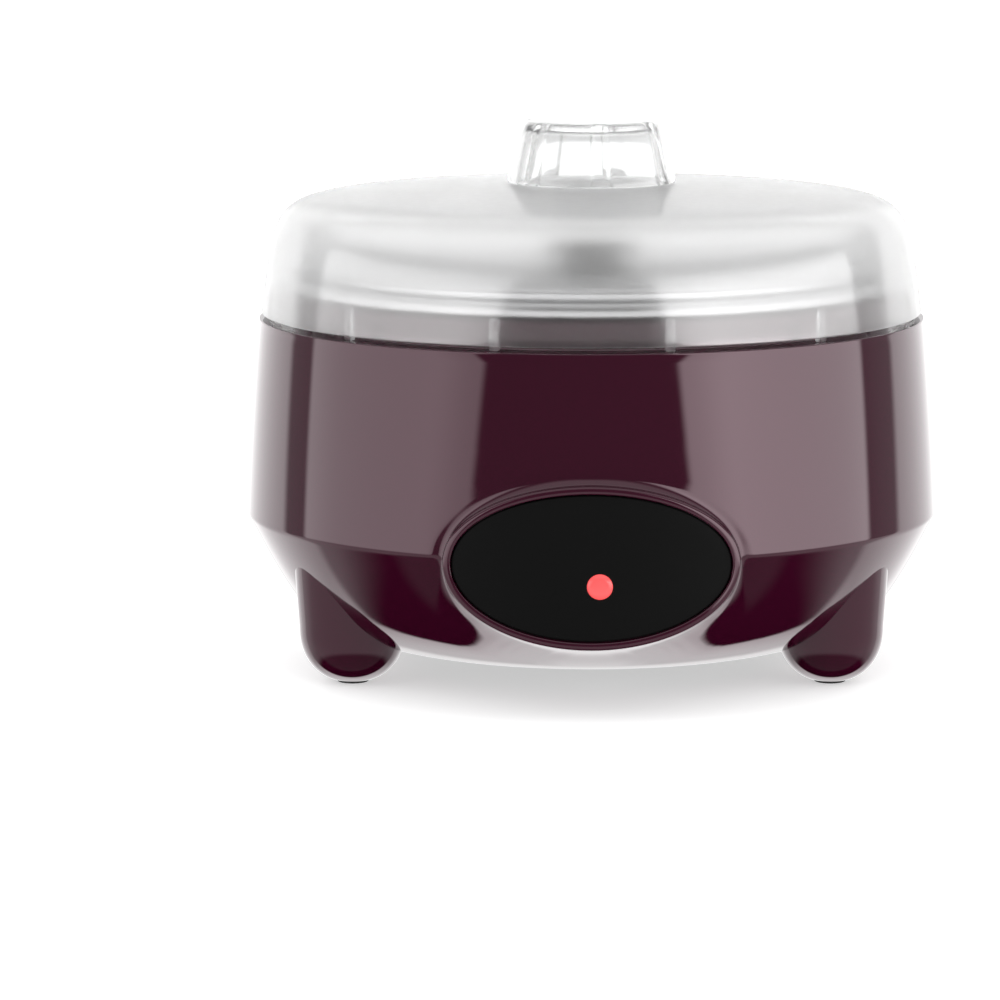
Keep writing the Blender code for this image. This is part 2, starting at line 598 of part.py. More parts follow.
def wiring(ivory, blue, brown, white):
    """Terminal block on the base cover, and the leads inside the housing."""
    half_x, half_y = TERMINAL_HALF
    low = (-half_x, TERMINAL_Y - half_y, COVER_TOP + GAP)
    high = (half_x, TERMINAL_Y + half_y, TERMINAL_TOP)
    terminal = add("terminal_block", block("terminal_block", low, high, 0.6), ivory)
    wells = [(rod("well", 1.7, 6, SCREW_RING), (x, TERMINAL_Y, TERMINAL_TOP - 3), 0) for x in (-4.5, 4.5)]
    shape(terminal, joined("wells", wells), "DIFFERENCE")

    front_y = TERMINAL_Y - half_y - GAP
    live_route = [(-4.5, front_y, 12), (-8, 18, 11.5), (-20, 16, 13), (-31, 9, 16.4), (-26.8, 8, 17)]
    wire("lead_live", live_route, brown)
    wire("lead_fuse", [(-13.2, 8, 17), (-11, 7, 16.4), (-10, 3, 13.8), (-7.1, 0, 13.4)], brown)
    wire("lead_thermostat", [(7.1, 0, 13.4), (12, -2, 13), (20, -7, 15), (22, -8, 18), (22, -8, 24.9)], brown)
    wire("lead_neutral", [(4.5, front_y, 12), (8, 19, 11.5), (17, 12, 13), (22, 8, 17), (22, 8, 24.9)], blue)
    board_route = [
        (half_x + GAP, TERMINAL_Y, 12), (20, 30, 12), (38, 8, 13), (44, -25, 14.5), (36, -54, 17.5),
        (21, -68.3, 20.2), (11, -72.5, 22.1), (7, -76.7, 23.7), (6, -78.8, 26.7),
    ]
    wire("lead_lamp", board_route, white, 0.7)


# --- pot, lids and knobs -------------------------------------------------------------------------


def inner_pot(steel, group):
    inside_r, floor = POT_R - POT_WALL, POT_Z + POT_WALL
    corner_z = POT_Z + POT_CORNER
    k = 0.55 * POT_CORNER
    base = (POT_R - POT_CORNER, POT_Z)
    outline = [(0, POT_Z), base]
    outline += bezier(base, (base[0] + k, POT_Z), (POT_R, corner_z - k), (POT_R, corner_z), 4)
    outline += [
        (POT_R, POT_RIM_Z), (POT_RIM_R - 0.7, POT_RIM_Z), (POT_RIM_R, POT_RIM_Z + 0.7),
        (POT_RIM_R, POT_RIM_TOP - 1.0), (POT_RIM_R - 1.0, POT_RIM_TOP), (inside_r + 1.2, POT_RIM_TOP),
        (inside_r, POT_RIM_TOP - 1.0), (inside_r, corner_z),
    ]
    inner_base = (base[0], floor)
    outline += bezier(
        (inside_r, corner_z), (inside_r, corner_z - k), (inner_base[0] + k, floor), inner_base, 4
    )
    outline.append((0, floor))
    add("inner_pot", lathe("inner_pot", outline), steel, parent=group)


def inner_lid(steel, black, group):
    """Pressed from sheet: a low crown, a rolled edge that rests on the pot's rim, and a plug inside it."""
    crown = [(0, INNER_LID_CROWN_Z), (35, INNER_LID_CROWN_Z - 0.3), (64, 102.5), (71.5, 101.7)]
    plug_in = PLUG_R - LID_SHEET
    outline = [
        *crown, (73.4, 102.3), (74.2, INNER_LID_BEAD_TOP), (74.9, 102.6), (INNER_LID_R, 101.9),
        (74.7, 101.3), (73.6, 101.1), (73.6, INNER_LID_Z), (PLUG_R, INNER_LID_Z), (PLUG_R, PLUG_Z),
        (plug_in, PLUG_Z), (plug_in, 101.0), (64, 102.5 - LID_SHEET), (35, crown[1][1] - LID_SHEET),
        (0, INNER_LID_CROWN_Z - LID_SHEET),
    ]
    lid = add("inner_lid", lathe("inner_lid", outline), steel, parent=group)
    shape(lid, rod("lid_hole", SCREW_HOLE_R, 8, SCREW_RING), "DIFFERENCE", at=(0, 0, 99))

    foot_z = INNER_LID_CROWN_Z + GAP
    knob = [
        (SCREW_HOLE_R, foot_z), (6.5, foot_z), (6.2, 105.0), (7.2, 106.4), (10.2, 107.2), (11.2, 108.4),
        (10.8, 109.9), (8.2, INNER_KNOB_TOP - 0.2), (0, INNER_KNOB_TOP), (0, 109.0),
        (SCREW_HOLE_R, 109.0),
    ]
    add("inner_lid_knob", lathe("inner_lid_knob", knob, MEDIUM_RING), black, parent=group)
    screw = screw_mesh("inner_lid_screw", 3.4, 1.3, 1.5, INNER_SCREW_LENGTH)
    screw.transform(Matrix.Rotation(math.pi, 4, "X"))
    at = (0, 0, INNER_LID_CROWN_Z - LID_SHEET - GAP + INNER_SCREW_LENGTH)
    add("inner_lid_screw", screw, steel, at=at, parent=group)


def outer_lid(frosted, group):
    outer = dome_outline()
    inner = [p for p in offset(outer[1:], DOME_WALL) if p[0] > 0.5]
    outline = [
        (DOME_EDGE_R - DOME_WALL, DOME_EDGE_Z), *outer, (0, DOME_TOP_Z - DOME_WALL), *reversed(inner),
    ]
    lid = add("outer_lid", lathe("outer_lid", outline), frosted, parent=group)
    tab = block(
        "tab",
        (TAB_IN_R, -TAB_WIDTH / 2, FLANGE_TOP + GAP),
        (TAB_OUT_R, TAB_WIDTH / 2, DOME_EDGE_Z + 0.5),
    )
    rib = block("rib", (TAB_IN_R, -TAB_WIDTH / 2, DOME_EDGE_Z), (TAB_OUT_R + 1.0, TAB_WIDTH / 2, TAB_TOP_Z))
    turns = [-90 + TAB_TURN + 360 / TAB_COUNT * (i + 0.5) for i in range(TAB_COUNT)]
    shape(lid, joined("ribs", [(rib, (0, 0, 0), turn) for turn in turns]), "UNION")
    shape(lid, joined("tabs", [(tab, (0, 0, 0), turn) for turn in turns]), "UNION")


def lid_knob(clear, group):
    """A hollow cup, mouth down, with flutes cut down its side."""
    base_z = DOME_TOP_Z + GAP
    outline = [
        (KNOB_BASE_R - KNOB_WALL, base_z), (KNOB_BASE_R, base_z), (KNOB_BASE_R - 0.2, base_z + 2.2),
        (KNOB_TOP_R, KNOB_TOP_Z - 2.2), (KNOB_TOP_R - 0.6, KNOB_TOP_Z - 0.8), (KNOB_TOP_R - 2.0, KNOB_TOP_Z - 0.2),
        (0, KNOB_TOP_Z), (0, KNOB_TOP_Z - KNOB_WALL), (KNOB_TOP_R - KNOB_WALL - 1, KNOB_TOP_Z - KNOB_WALL),
    ]
    knob = add("lid_knob", lathe("lid_knob", outline, 42), clear, parent=group)
    lean = math.atan((KNOB_BASE_R - KNOB_TOP_R) / (KNOB_TOP_Z - base_z))
    flute = rod("flute", KNOB_FLUTE_R, KNOB_TOP_Z - base_z + 2 * OVER, 10)
    flute.transform(Matrix.Rotation(-lean, 4, "Y"))
    flute.transform(Matrix.Translation(Vector((KNOB_BASE_R + 1.5, 0, base_z - OVER)) * MM))
    turns = [-90 + KNOB_TURN + 360 / KNOB_FLUTES * i for i in range(KNOB_FLUTES)]
    shape(knob, joined("flutes", [(flute, (0, 0, 0), turn) for turn in turns]), "DIFFERENCE")


def build():
    clear_scene()
    plum = material("plum_gloss", (0.045, 0.008, 0.02), 0.12)
    black = material("black_gloss", (0.01, 0.01, 0.01), 0.1)
    black_matte = material("black_matte", (0.02, 0.02, 0.02), 0.5)
    red = material("red_lens", (0.9, 0.1, 0.1), 0.2)
    frosted = material("frosted_clear", (0.93, 0.93, 0.93), 0.3, alpha=0.5)
    clear = material("clear_knob", (0.95, 0.95, 0.95), 0.08, alpha=0.4)
    steel = material("brushed_steel", (0.62, 0.62, 0.63), 0.22, 1.0)
    aluminium = material("aluminium", (0.75, 0.75, 0.76), 0.3, 1.0)
    rubber = material("rubber", (0.02, 0.02, 0.02), 0.8)
    board_green = material("board_green", (0.02, 0.12, 0.05), 0.5)
    led_clear = material("led_clear", (0.8, 0.2, 0.2), 0.1)
    film_brown = material("heater_film", (0.3, 0.12, 0.03), 0.5)
    felt = material("felt", (0.7, 0.68, 0.62), 0.9)
    brass = material("brass", (0.8, 0.6, 0.3), 0.3, 1.0)
    ivory = material("ivory", (0.75, 0.72, 0.62), 0.5)
    blue = material("wire_blue", (0.03, 0.1, 0.45), 0.5)
    brown = material("wire_brown", (0.16, 0.06, 0.02), 0.5)
    white = material("wire_white", (0.8, 0.8, 0.78), 0.5)

    body_shell(plum)
    window_and_lamp(black, red, board_green, led_clear, steel)
    feet(plum, rubber, steel)
    base_cover(black_matte, steel)
    cord_gland(black_matte)
    inner_liner(plum)
    heater(aluminium, film_brown, felt, steel, black_matte, brass)
    wiring(ivory, blue, brown, white)
    inner_pot(steel, joint_axis("pot_lift", POT_Z))
    inner_lid(steel, black, joint_axis("inner_lid_lift", INNER_LID_Z))
    lid_group = joint_axis("outer_lid_lift", DOME_EDGE_Z)
    outer_lid(frosted, lid_group)
    lid_knob(clear, lid_group)


build()
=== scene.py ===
"""The looks of the yogurt maker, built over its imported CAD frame.

Outlines are in millimetres, in the frame's own axes: +Z up, -Y to the front, origin on the centre line at
the level that the feet stand on. Meshes are made in metres.
"""

import math

import bmesh
import bpy
import numpy as np
from mathutils import Matrix, Vector


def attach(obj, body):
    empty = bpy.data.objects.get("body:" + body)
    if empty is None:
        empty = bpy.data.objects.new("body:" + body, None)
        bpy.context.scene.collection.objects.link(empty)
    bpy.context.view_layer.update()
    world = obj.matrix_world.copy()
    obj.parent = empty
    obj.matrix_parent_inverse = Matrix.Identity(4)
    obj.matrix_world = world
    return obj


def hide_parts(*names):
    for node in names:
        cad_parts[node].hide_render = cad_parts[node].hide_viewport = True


MM = 0.001
FINEST = 288  # steps round the dome, whose facets would show through it
FINE = 192  # steps round the other large turned pieces
MEDIUM = 96
SMALL = 48


# --- mesh tools ------------------------------------------------------------------------------------


def add(name, verts, faces, finish, body, slot, replaced=(), sharp=40):
    """A piece from points in millimetres, riding on a body and standing for CAD nodes."""
    mesh = bpy.data.meshes.new(name)
    mesh.from_pydata([tuple(c * MM for c in v) for v in verts], [], faces)
    bm = bmesh.new()
    bm.from_mesh(mesh)
    bmesh.ops.remove_doubles(bm, verts=bm.verts, dist=2e-6)
    bmesh.ops.recalc_face_normals(bm, faces=bm.faces)
    bm.to_mesh(mesh)
    bm.free()
    mesh.shade_smooth()
    mesh.set_sharp_from_angle(angle=math.radians(sharp))
    mesh.materials.append(finish)
    obj = bpy.data.objects.new(name, mesh)
    bpy.context.scene.collection.objects.link(obj)
    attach(obj, body)
    if replaced:
        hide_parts(*replaced)
    return obj


def bezier(start, first, second, end, steps):
    """Points along a cubic curve, without its first. It takes points of any length."""
    start, first, second, end = (np.array(p, float) for p in (start, first, second, end))
    points = []
    for i in range(1, steps + 1):
        t = i / steps
        points.append(
            (1 - t) ** 3 * start + 3 * (1 - t) ** 2 * t * first + 3 * (1 - t) * t * t * second + t**3 * end
        )
    return [tuple(p) for p in points]


def rounded(corners, steps=4):
    """A closed outline with corners (r, z) or (r, z, radius), the latter turned into curves."""
    points = []
    for i, corner in enumerate(corners):
        here = Vector(corner[:2])
        radius = corner[2] if len(corner) > 2 else 0
        if not radius:
            points.append(tuple(here))
            continue
        before = Vector(corners[i - 1][:2]) - here
        after = Vector(corners[(i + 1) % len(corners)][:2]) - here
        reach = radius / math.tan(before.angle(after) / 2)
        start = here + before.normalized() * min(reach, before.length * 0.49)
        end = here + after.normalized() * min(reach, after.length * 0.49)
        for k in range(steps + 1):
            t = k / steps
            points.append(tuple(start * (1 - t) ** 2 + here * 2 * t * (1 - t) + end * t * t))
    return points


def offset(points, distance):
    """An open outline moved to its left by distance."""
    moved = []
    for i, (r, z) in enumerate(points):
        before, after = points[max(i - 1, 0)], points[min(i + 1, len(points) - 1)]
        along = Vector((after[0] - before[0], after[1] - before[1])).normalized()
        moved.append((r - along.y * distance, z + along.x * distance))
    return moved


def turned(outline, steps, closed=True, reach=None):
    """(points, faces) of an outline of (radius, height) turned about Z. reach changes a point's radius and
    height by its angle: it takes (angle, r, z) and gives (r, z)."""
    verts, rings = [], []
    for r, z in outline:
        if r < 1e-6:
            rings.append([len(verts)] * steps)
            verts.append((0, 0, z))
            continue
        rings.append(range(len(verts), len(verts) + steps))
        for i in range(steps):
            turn = math.tau * i / steps
            rr, zz = reach(turn, r, z) if reach else (r, z)
            verts.append((rr * math.cos(turn), rr * math.sin(turn), zz))
    pairs = list(zip(rings, rings[1:]))
    if closed:
        pairs.append((rings[-1], rings[0]))
    faces = []
    for low, high in pairs:
        for i in range(steps):
            j = (i + 1) % steps
            face = list(dict.fromkeys((low[i], low[j], high[j], high[i])))
            if len(face) > 2:
                faces.append(face)
    return verts, faces


def strip(rings, wrap=True):
    """(points, faces) that join rings of as many points each, in order."""
    verts = [p for ring in rings for p in ring]
    count = len(rings[0])
    faces = []
    for k in range(len(rings) - 1):
        for i in range(count if wrap else count - 1):
            j = (i + 1) % count
            faces.append((k * count + i, k * count + j, (k + 1) * count + j, (k + 1) * count + i))
    return verts, faces


def merge(*shapes):
    """One (points, faces) of several."""
    verts, faces = [], []
    for more, tied in shapes:
        base = len(verts)
        verts += more
        faces += [tuple(i + base for i in face) for face in tied]
    return verts, faces


def moved(shape, matrix):
    verts, faces = shape
    return [tuple(matrix @ Vector(v)) for v in verts], faces


def bevelled_box(low, high, edge=0.4):
    """(points, faces) of a box with its edges eased."""
    bm = bmesh.new()
    size, centre = Vector(high) - Vector(low), (Vector(high) + Vector(low)) / 2
    bmesh.ops.create_cube(bm, size=1, matrix=Matrix.Translation(centre) @ Matrix.Diagonal((*size, 1)))
    bmesh.ops.bevel(bm, geom=bm.edges[:], offset=edge, segments=2, affect="EDGES", profile=0.5)
    bm.verts.index_update()
    shape = [tuple(v.co) for v in bm.verts], [tuple(v.index for v in f.verts) for f in bm.faces]
    bm.free()
    return shape


# --- materials -------------------------------------------------------------------------------------


class Finish:
    """A Principled material and short ways to add to its nodes."""

    def __init__(self, name, colour, roughness, **more):
        self.material = bpy.data.materials.new(name)
        self.material.use_nodes = True
        self.nodes = self.material.node_tree.nodes
        self.links = self.material.node_tree.links
        self.shader = self.nodes["Principled BSDF"]
        self.shader.inputs["Base Color"].default_value = (*colour, 1)
        self.shader.inputs["Roughness"].default_value = roughness
        for key, value in more.items():
            self.shader.inputs[key.replace("_", " ")].default_value = value

    def node(self, kind, **settings):
        made = self.nodes.new(kind)
        for key, value in settings.items():
            setattr(made, key, value)
        return made

    def place(self):
        """The surface's position in the object's own axes."""
        return self.node("ShaderNodeTexCoord").outputs["Object"]

    def radius(self):
        """Distance from the centre line."""
        flat = self.node("ShaderNodeVectorMath", operation="MULTIPLY")
        flat.inputs[1].default_value = (1, 1, 0)
        self.links.new(self.place(), flat.inputs[0])
        length = self.node("ShaderNodeVectorMath", operation="LENGTH")
        self.links.new(flat.outputs[0], length.inputs[0])
        return length.outputs["Value"]

    def noise(self, scale, detail=2.0, along=None, stretch=(1, 1, 1)):
        made = self.node("ShaderNodeTexNoise")
        made.inputs["Scale"].default_value = scale
        made.inputs["Detail"].default_value = detail
        if along is not None:
            made.noise_dimensions = "1D"
            self.links.new(along, made.inputs["W"])
            return made.outputs["Fac"]
        spread = self.node("ShaderNodeMapping")
        spread.inputs["Scale"].default_value = stretch
        self.links.new(self.place(), spread.inputs["Vector"])
        self.links.new(spread.outputs["Vector"], made.inputs["Vector"])
        return made.outputs["Fac"]

    def between(self, value, low, high, start=0.3, end=0.7):
        made = self.node("ShaderNodeMapRange")
        made.inputs["From Min"].default_value = start
        made.inputs["From Max"].default_value = end
        made.inputs["To Min"].default_value = low
        made.inputs["To Max"].default_value = high
        self.links.new(value, made.inputs["Value"])
        return made.outputs["Result"]

    def vary_roughness(self, value, low, high):
        self.links.new(self.between(value, low, high), self.shader.inputs["Roughness"])
        return self

    def vary_colour(self, value, first, second):
        mix = self.node("ShaderNodeMix", data_type="RGBA")
        mix.inputs["A"].default_value = (*first, 1)
        mix.inputs["B"].default_value = (*second, 1)
        self.links.new(self.between(value, 0, 1), mix.inputs["Factor"])
        self.links.new(mix.outputs["Result"], self.shader.inputs["Base Color"])
        return self

    def bump(self, value, height, strength=1.0):
        """Raises the surface by up to height millimetres."""
        made = self.node("ShaderNodeBump")
        made.inputs["Strength"].default_value = strength
        made.inputs["Distance"].default_value = height * MM
        self.links.new(value, made.inputs["Height"])
        self.links.new(made.outputs["Normal"], self.shader.inputs["Normal"])
        return self


def plum(name, ior):
    """Moulded gloss plastic, with the faint waviness that a large moulding has."""
    tint = (1.0, 0.8, 0.86, 1)
    gloss = dict(IOR=ior, Specular_IOR_Level=0.62, Specular_Tint=tint)
    made = Finish(name, (0.026, 0.0013, 0.0086), 0.05, **gloss)
    made.vary_roughness(made.noise(60, 3), 0.04, 0.065)
    made.vary_colour(made.noise(9, 2), (0.025, 0.0011, 0.0082), (0.0272, 0.0015, 0.0092))
    made.bump(made.noise(28, 1), 0.02, 0.06)
    return made.material


def window_black():
    made = Finish("window_black", (0.0052, 0.0052, 0.0052), 0.5, Specular_IOR_Level=0.04)
    made.vary_roughness(made.noise(90, 3), 0.46, 0.54)
    made.vary_colour(made.noise(12, 2), (0.005, 0.005, 0.005), (0.0055, 0.0055, 0.0054))
    return made.material


def lens_red():
    """Tinted lens with a lamp close behind it."""
    glow = dict(Emission_Color=(1.0, 0.12, 0.12, 1), Emission_Strength=0.74)
    made = Finish("lens_red", (0.5, 0.03, 0.03), 0.2, **glow)
    made.vary_roughness(made.noise(900, 2), 0.14, 0.26)
    return made.material


def matte_black(name, shade, grain=1500, specular=0.5):
    """Spark-textured black plastic."""
    made = Finish(name, (shade, shade, shade), 0.5, Specular_IOR_Level=specular)
    made.vary_roughness(made.noise(grain, 2), 0.42, 0.58)
    made.vary_colour(made.noise(grain / 4, 3), (shade * 0.85,) * 3, (shade * 1.2,) * 3)
    made.bump(made.noise(grain, 3), 0.03, 0.5)
    return made.material


def rubber():
    made = Finish("pad_rubber", (0.02, 0.02, 0.02), 0.8)
    made.vary_roughness(made.noise(700, 3), 0.7, 0.9)
    made.vary_colour(made.noise(300, 3), (0.016, 0.016, 0.016), (0.028, 0.027, 0.026))
    made.bump(made.noise(1100, 3), 0.04, 0.5)
    return made.material


def spun_steel(name, shade, low, high, satin_r=0.0):
    """Polished metal with the fine rings that spinning leaves. It is satin inside satin_r."""
    made = Finish(name, (shade, shade, shade * 1.01), 0.2, Metallic=1.0)
    rings = made.noise(2600, 2, along=made.radius())
    polish = made.between(rings, low, high)
    satin = made.node("ShaderNodeMath", operation="ADD")
    made.links.new(polish, satin.inputs[0])
    made.links.new(made.between(made.radius(), 0.2, 0.0, satin_r * MM - 0.002, satin_r * MM), satin.inputs[1])
    made.links.new(satin.outputs[0], made.shader.inputs["Roughness"])
    made.vary_colour(made.noise(20, 3), (shade * 0.95,) * 3, (shade * 1.04, shade * 1.04, shade * 1.05))
    made.bump(rings, 0.008, 0.35)
    return made.material


def bare_metal(name, colour, low=0.25, high=0.4):
    """Plated or rolled metal with a fine grain."""
    made = Finish(name, colour, 0.3, Metallic=1.0)
    made.vary_roughness(made.noise(800, 3), low, high)
    made.vary_colour(made.noise(150, 3), tuple(c * 0.9 for c in colour), colour)
    return made.material


def frosted_dome():
    """Clear plastic with a fine, even frosting."""
    coat = dict(Coat_Weight=0.6, Coat_Roughness=0.12, Coat_IOR=2.35)
    made = Finish("dome_frosted", (0.98, 0.98, 0.98), 0.39, Transmission_Weight=1.0, IOR=1.2, **coat)
    made.vary_roughness(made.noise(500, 3), 0.37, 0.41)
    return made.material


def clear_plastic():
    """Clear plastic, a little scuffed."""
    coat = dict(Coat_Weight=1.0, Coat_Roughness=0.06, Coat_IOR=1.5)
    made = Finish("knob_clear", (0.955, 0.958, 0.958), 0.16, Transmission_Weight=0.97, IOR=1.18, **coat)
    made.vary_roughness(made.noise(120, 2), 0.14, 0.18)
    return made.material


def moulded(name, colour, low=0.4, high=0.55):
    """Plain moulded plastic or wire insulation."""
    made = Finish(name, colour, 0.5)
    made.vary_roughness(made.noise(600, 3), low, high)
    made.vary_colour(made.noise(200, 3), tuple(c * 0.92 for c in colour), colour)
    return made.material


def felt():
    made = Finish("pad_felt", (0.7, 0.68, 0.62), 0.95)
    made.vary_colour(made.noise(900, 4), (0.6, 0.58, 0.52), (0.75, 0.73, 0.67))
    made.bump(made.noise(1400, 4), 0.15, 0.8)
    return made.material


# --- housing ---------------------------------------------------------------------------------------

BASE_Z, BASE_R = 6.5, 50.0
BOWL_R, BOWL_Z = 76.1, 18.1
CREASE_R, CREASE_Z = 87.8, 38.7
RIM_R, RIM_Z = 84.45, 88.3
RIM_INNER_R, LEDGE_R, LEDGE_Z = 82.0, 79.0, 86.0
SEAT_R, SEAT_Z, HOLE_R, RING_Z = 48.5, 10.3, 43.5, 12.5
WALL = 2.4
BOWL_STEPS, CREASE_STEPS, WALL_STEPS = 30, 6, 40  # BOWL_STEPS is for each half of the bowl's line
GLAND_Z = 50.0
LAMP_X, LAMP_Z = 2.0, 33.0

OVAL_Z, BOSS_R = 37.4, 88.9
BOSS_HALF = (35.8, 19.8)
RECESS_HALF = (33.8, 17.9)
RECESS_FLOOR_R = 86.95
FOOT_OF_BOSS = (39.2, 22.6, 28.2)  # half-width, and half-heights above and below, of the fillet's outer edge
FOOT_SQUARENESS = 2.8  # exponent of that edge's lower half, an oval with full corners
PATCH_TURN = math.radians(33.75)  # the patch round the window runs this far each side of the front
PATCH_LOW_Z, PATCH_TOP_Z = 6.9, 66.0


def bowl_curve(steps):
    """The bowl's outer line from its flat base up to just under the crease."""
    steep = Vector((0.72, 1.0)).normalized() * 10
    low = bezier(
        (BASE_R, BASE_Z), (BASE_R + 8, BASE_Z), (BOWL_R - steep.x, BOWL_Z - steep.y), (BOWL_R, BOWL_Z), steps
    )
    high = bezier(
        (BOWL_R, BOWL_Z), (BOWL_R + 4.7, BOWL_Z + 6.6), (84.4, 32.0), (CREASE_R - 0.4, CREASE_Z - 0.75), steps
    )
    return [(BASE_R, BASE_Z), *low, *high]


def crease_curve(steps):
    under, over = (CREASE_R - 0.4, CREASE_Z - 0.75), (CREASE_R - 0.03, CREASE_Z + 0.6)
    return bezier(under, (CREASE_R - 0.12, CREASE_Z - 0.2), (CREASE_R, CREASE_Z + 0.1), over, steps)


def wall_curve(steps):
    """From the crease to the top edge, slightly barrelled."""
    start, end = (CREASE_R - 0.03, CREASE_Z + 0.6), (RIM_R, RIM_Z - 0.5)
    lean, rise = (start[0] - end[0]) / 3, (end[1] - start[1]) / 3
    first = (start[0] - lean + 0.33, start[1] + rise)
    second = (start[0] - 2 * lean + 0.33, start[1] + 2 * rise)
    return bezier(start, first, second, end, steps)


class Wall:
    """The housing's outer skin: a place on it is (turn from the front, distance up its outline)."""

    def __init__(self):
        self.line = np.array(bowl_curve(BOWL_STEPS) + crease_curve(CREASE_STEPS) + wall_curve(WALL_STEPS))
        steps = np.hypot(*np.diff(self.line, axis=0).T)
        self.along = np.concatenate([[0], np.cumsum(steps)])
        heights = self.line[:, 1]
        self.crease = float(np.interp(CREASE_Z, heights, self.along))

    def up_to(self, z):
        """Distance up the outline at height z."""
        return float(np.interp(z, self.line[:, 1], self.along))

    def point(self, turn, s):
        r = float(np.interp(s, self.along, self.line[:, 0]))
        z = float(np.interp(s, self.along, self.line[:, 1]))
        return (r * math.sin(turn), -r * math.cos(turn), z)

    def radius(self, z):
        return float(np.interp(z, self.line[:, 1], self.line[:, 0]))

    def bowl_height(self, radius):
        """The bowl's outside height at a distance from the centre line."""
        bowl = self.line[: 2 * BOWL_STEPS + 1]
        return float(np.interp(radius, bowl[:, 0], bowl[:, 1]))


def on_cylinder(half, turn, radius):
    """The point of an oval round the window's centre, on a cylinder about the centre line."""
    x = half[0] * math.cos(turn)
    return (x, -math.sqrt(radius**2 - x * x), OVAL_Z + half[1] * math.sin(turn))


def shrunk(half, by):
    return (half[0] - by, half[1] - by)


def foot_outline(oval_turn):
    """A point (x, z) of the fillet's outer edge."""
    width, above, below = FOOT_OF_BOSS
    across, up = math.cos(oval_turn), math.sin(oval_turn)
    if up > 0:
        return width * across, OVAL_Z + above * up
    power = 2 / FOOT_SQUARENESS
    return width * math.copysign(abs(across) ** power, across), OVAL_Z - below * abs(up) ** power


def foot_turn(z):
    """The turn round the oval, on its right side, at which the fillet's outer edge has height z."""
    _, above, below = FOOT_OF_BOSS
    if z > OVAL_Z:
        return math.asin((z - OVAL_Z) / above)
    return -math.asin(((OVAL_Z - z) / below) ** (FOOT_SQUARENESS / 2))


def boss_foot(wall, s):
    """The turn round the oval at which a line that leaves the patch's side at s meets the fillet."""
    keep = 3.0  # lines this near the crease run along it
    corner = math.radians(50)
    d = s - wall.crease
    if d > keep:
        top = wall.up_to(foot_outline(corner)[1]) - wall.crease
        whole = wall.up_to(PATCH_TOP_Z) - wall.crease
        d = keep + (d - keep) * (top - keep) / (whole - keep)
    if d < -keep:
        low = wall.crease - wall.up_to(foot_outline(-corner)[1])
        whole = wall.crease - wall.up_to(PATCH_LOW_Z)
        d = -keep + (d + keep) * (low - keep) / (whole - keep)
    s = wall.crease + d
    return foot_turn(wall.point(0, s)[2])


def body_rows(wall):
    """Distances up the outline of the skin's rows, with the crease and the patch's edges among them."""
    crease_band = [wall.crease + d for d in (-0.9, -0.55, -0.25, 0.0, 0.25, 0.55, 0.9)]
    low, high = wall.up_to(PATCH_LOW_Z), wall.up_to(PATCH_TOP_Z)
    rows = list(np.linspace(0, low, 4)[:-1])
    rows += list(np.linspace(low, crease_band[0], 24)[:-1])
    rows += crease_band
    rows += list(np.linspace(crease_band[-1], high, 17)[1:])
    rows += list(np.linspace(high, wall.along[-1], 12)[1:])
    return rows, low, high


def window_patch(wall, rows, low, high, columns):
    """The skin round the window: lines from the patch's edge in to the boss, up it and into its recess."""
    sides = [s for s in rows if low - 1e-6 <= s <= high + 1e-6]
    spokes = []  # (turn, s) at the edge of the patch, (turn, s) at the fillet's foot, turn round the oval

    def foot(oval_turn):
        x, z = foot_outline(oval_turn)
        return (math.asin(x / wall.radius(z)), wall.up_to(z))

    for s in sides:
        oval_turn = boss_foot(wall, s)
        spokes.append(((PATCH_TURN, s), foot(oval_turn), oval_turn))
    top_turn = spokes[-1][2]
    low_turn = spokes[0][2]
    for turn in reversed(columns[1:-1]):
        oval_turn = math.pi / 2 - (math.pi / 2 - top_turn) * turn / PATCH_TURN
        spokes.append(((turn, high), foot(oval_turn), oval_turn))
    for s in reversed(sides):
        oval_turn = math.pi - boss_foot(wall, s)
        spokes.append(((-PATCH_TURN, s), foot(oval_turn), oval_turn))
    for turn in columns[1:-1]:
        oval_turn = -math.pi / 2 + (math.pi / 2 + low_turn) * turn / PATCH_TURN
        spokes.append(((turn, low), foot(oval_turn), oval_turn))

    lines = [spoke_line(wall, *spoke) for spoke in spokes]
    rings = list(zip(*lines))
    shape = strip(rings)
    centre = len(shape[0])
    shape[0].append((0, -RECESS_FLOOR_R, OVAL_Z))
    last = (len(rings) - 1) * len(lines)
    for i in range(len(lines)):
        shape[1].append((last + i, last + (i + 1) % len(lines), centre))
    return shape


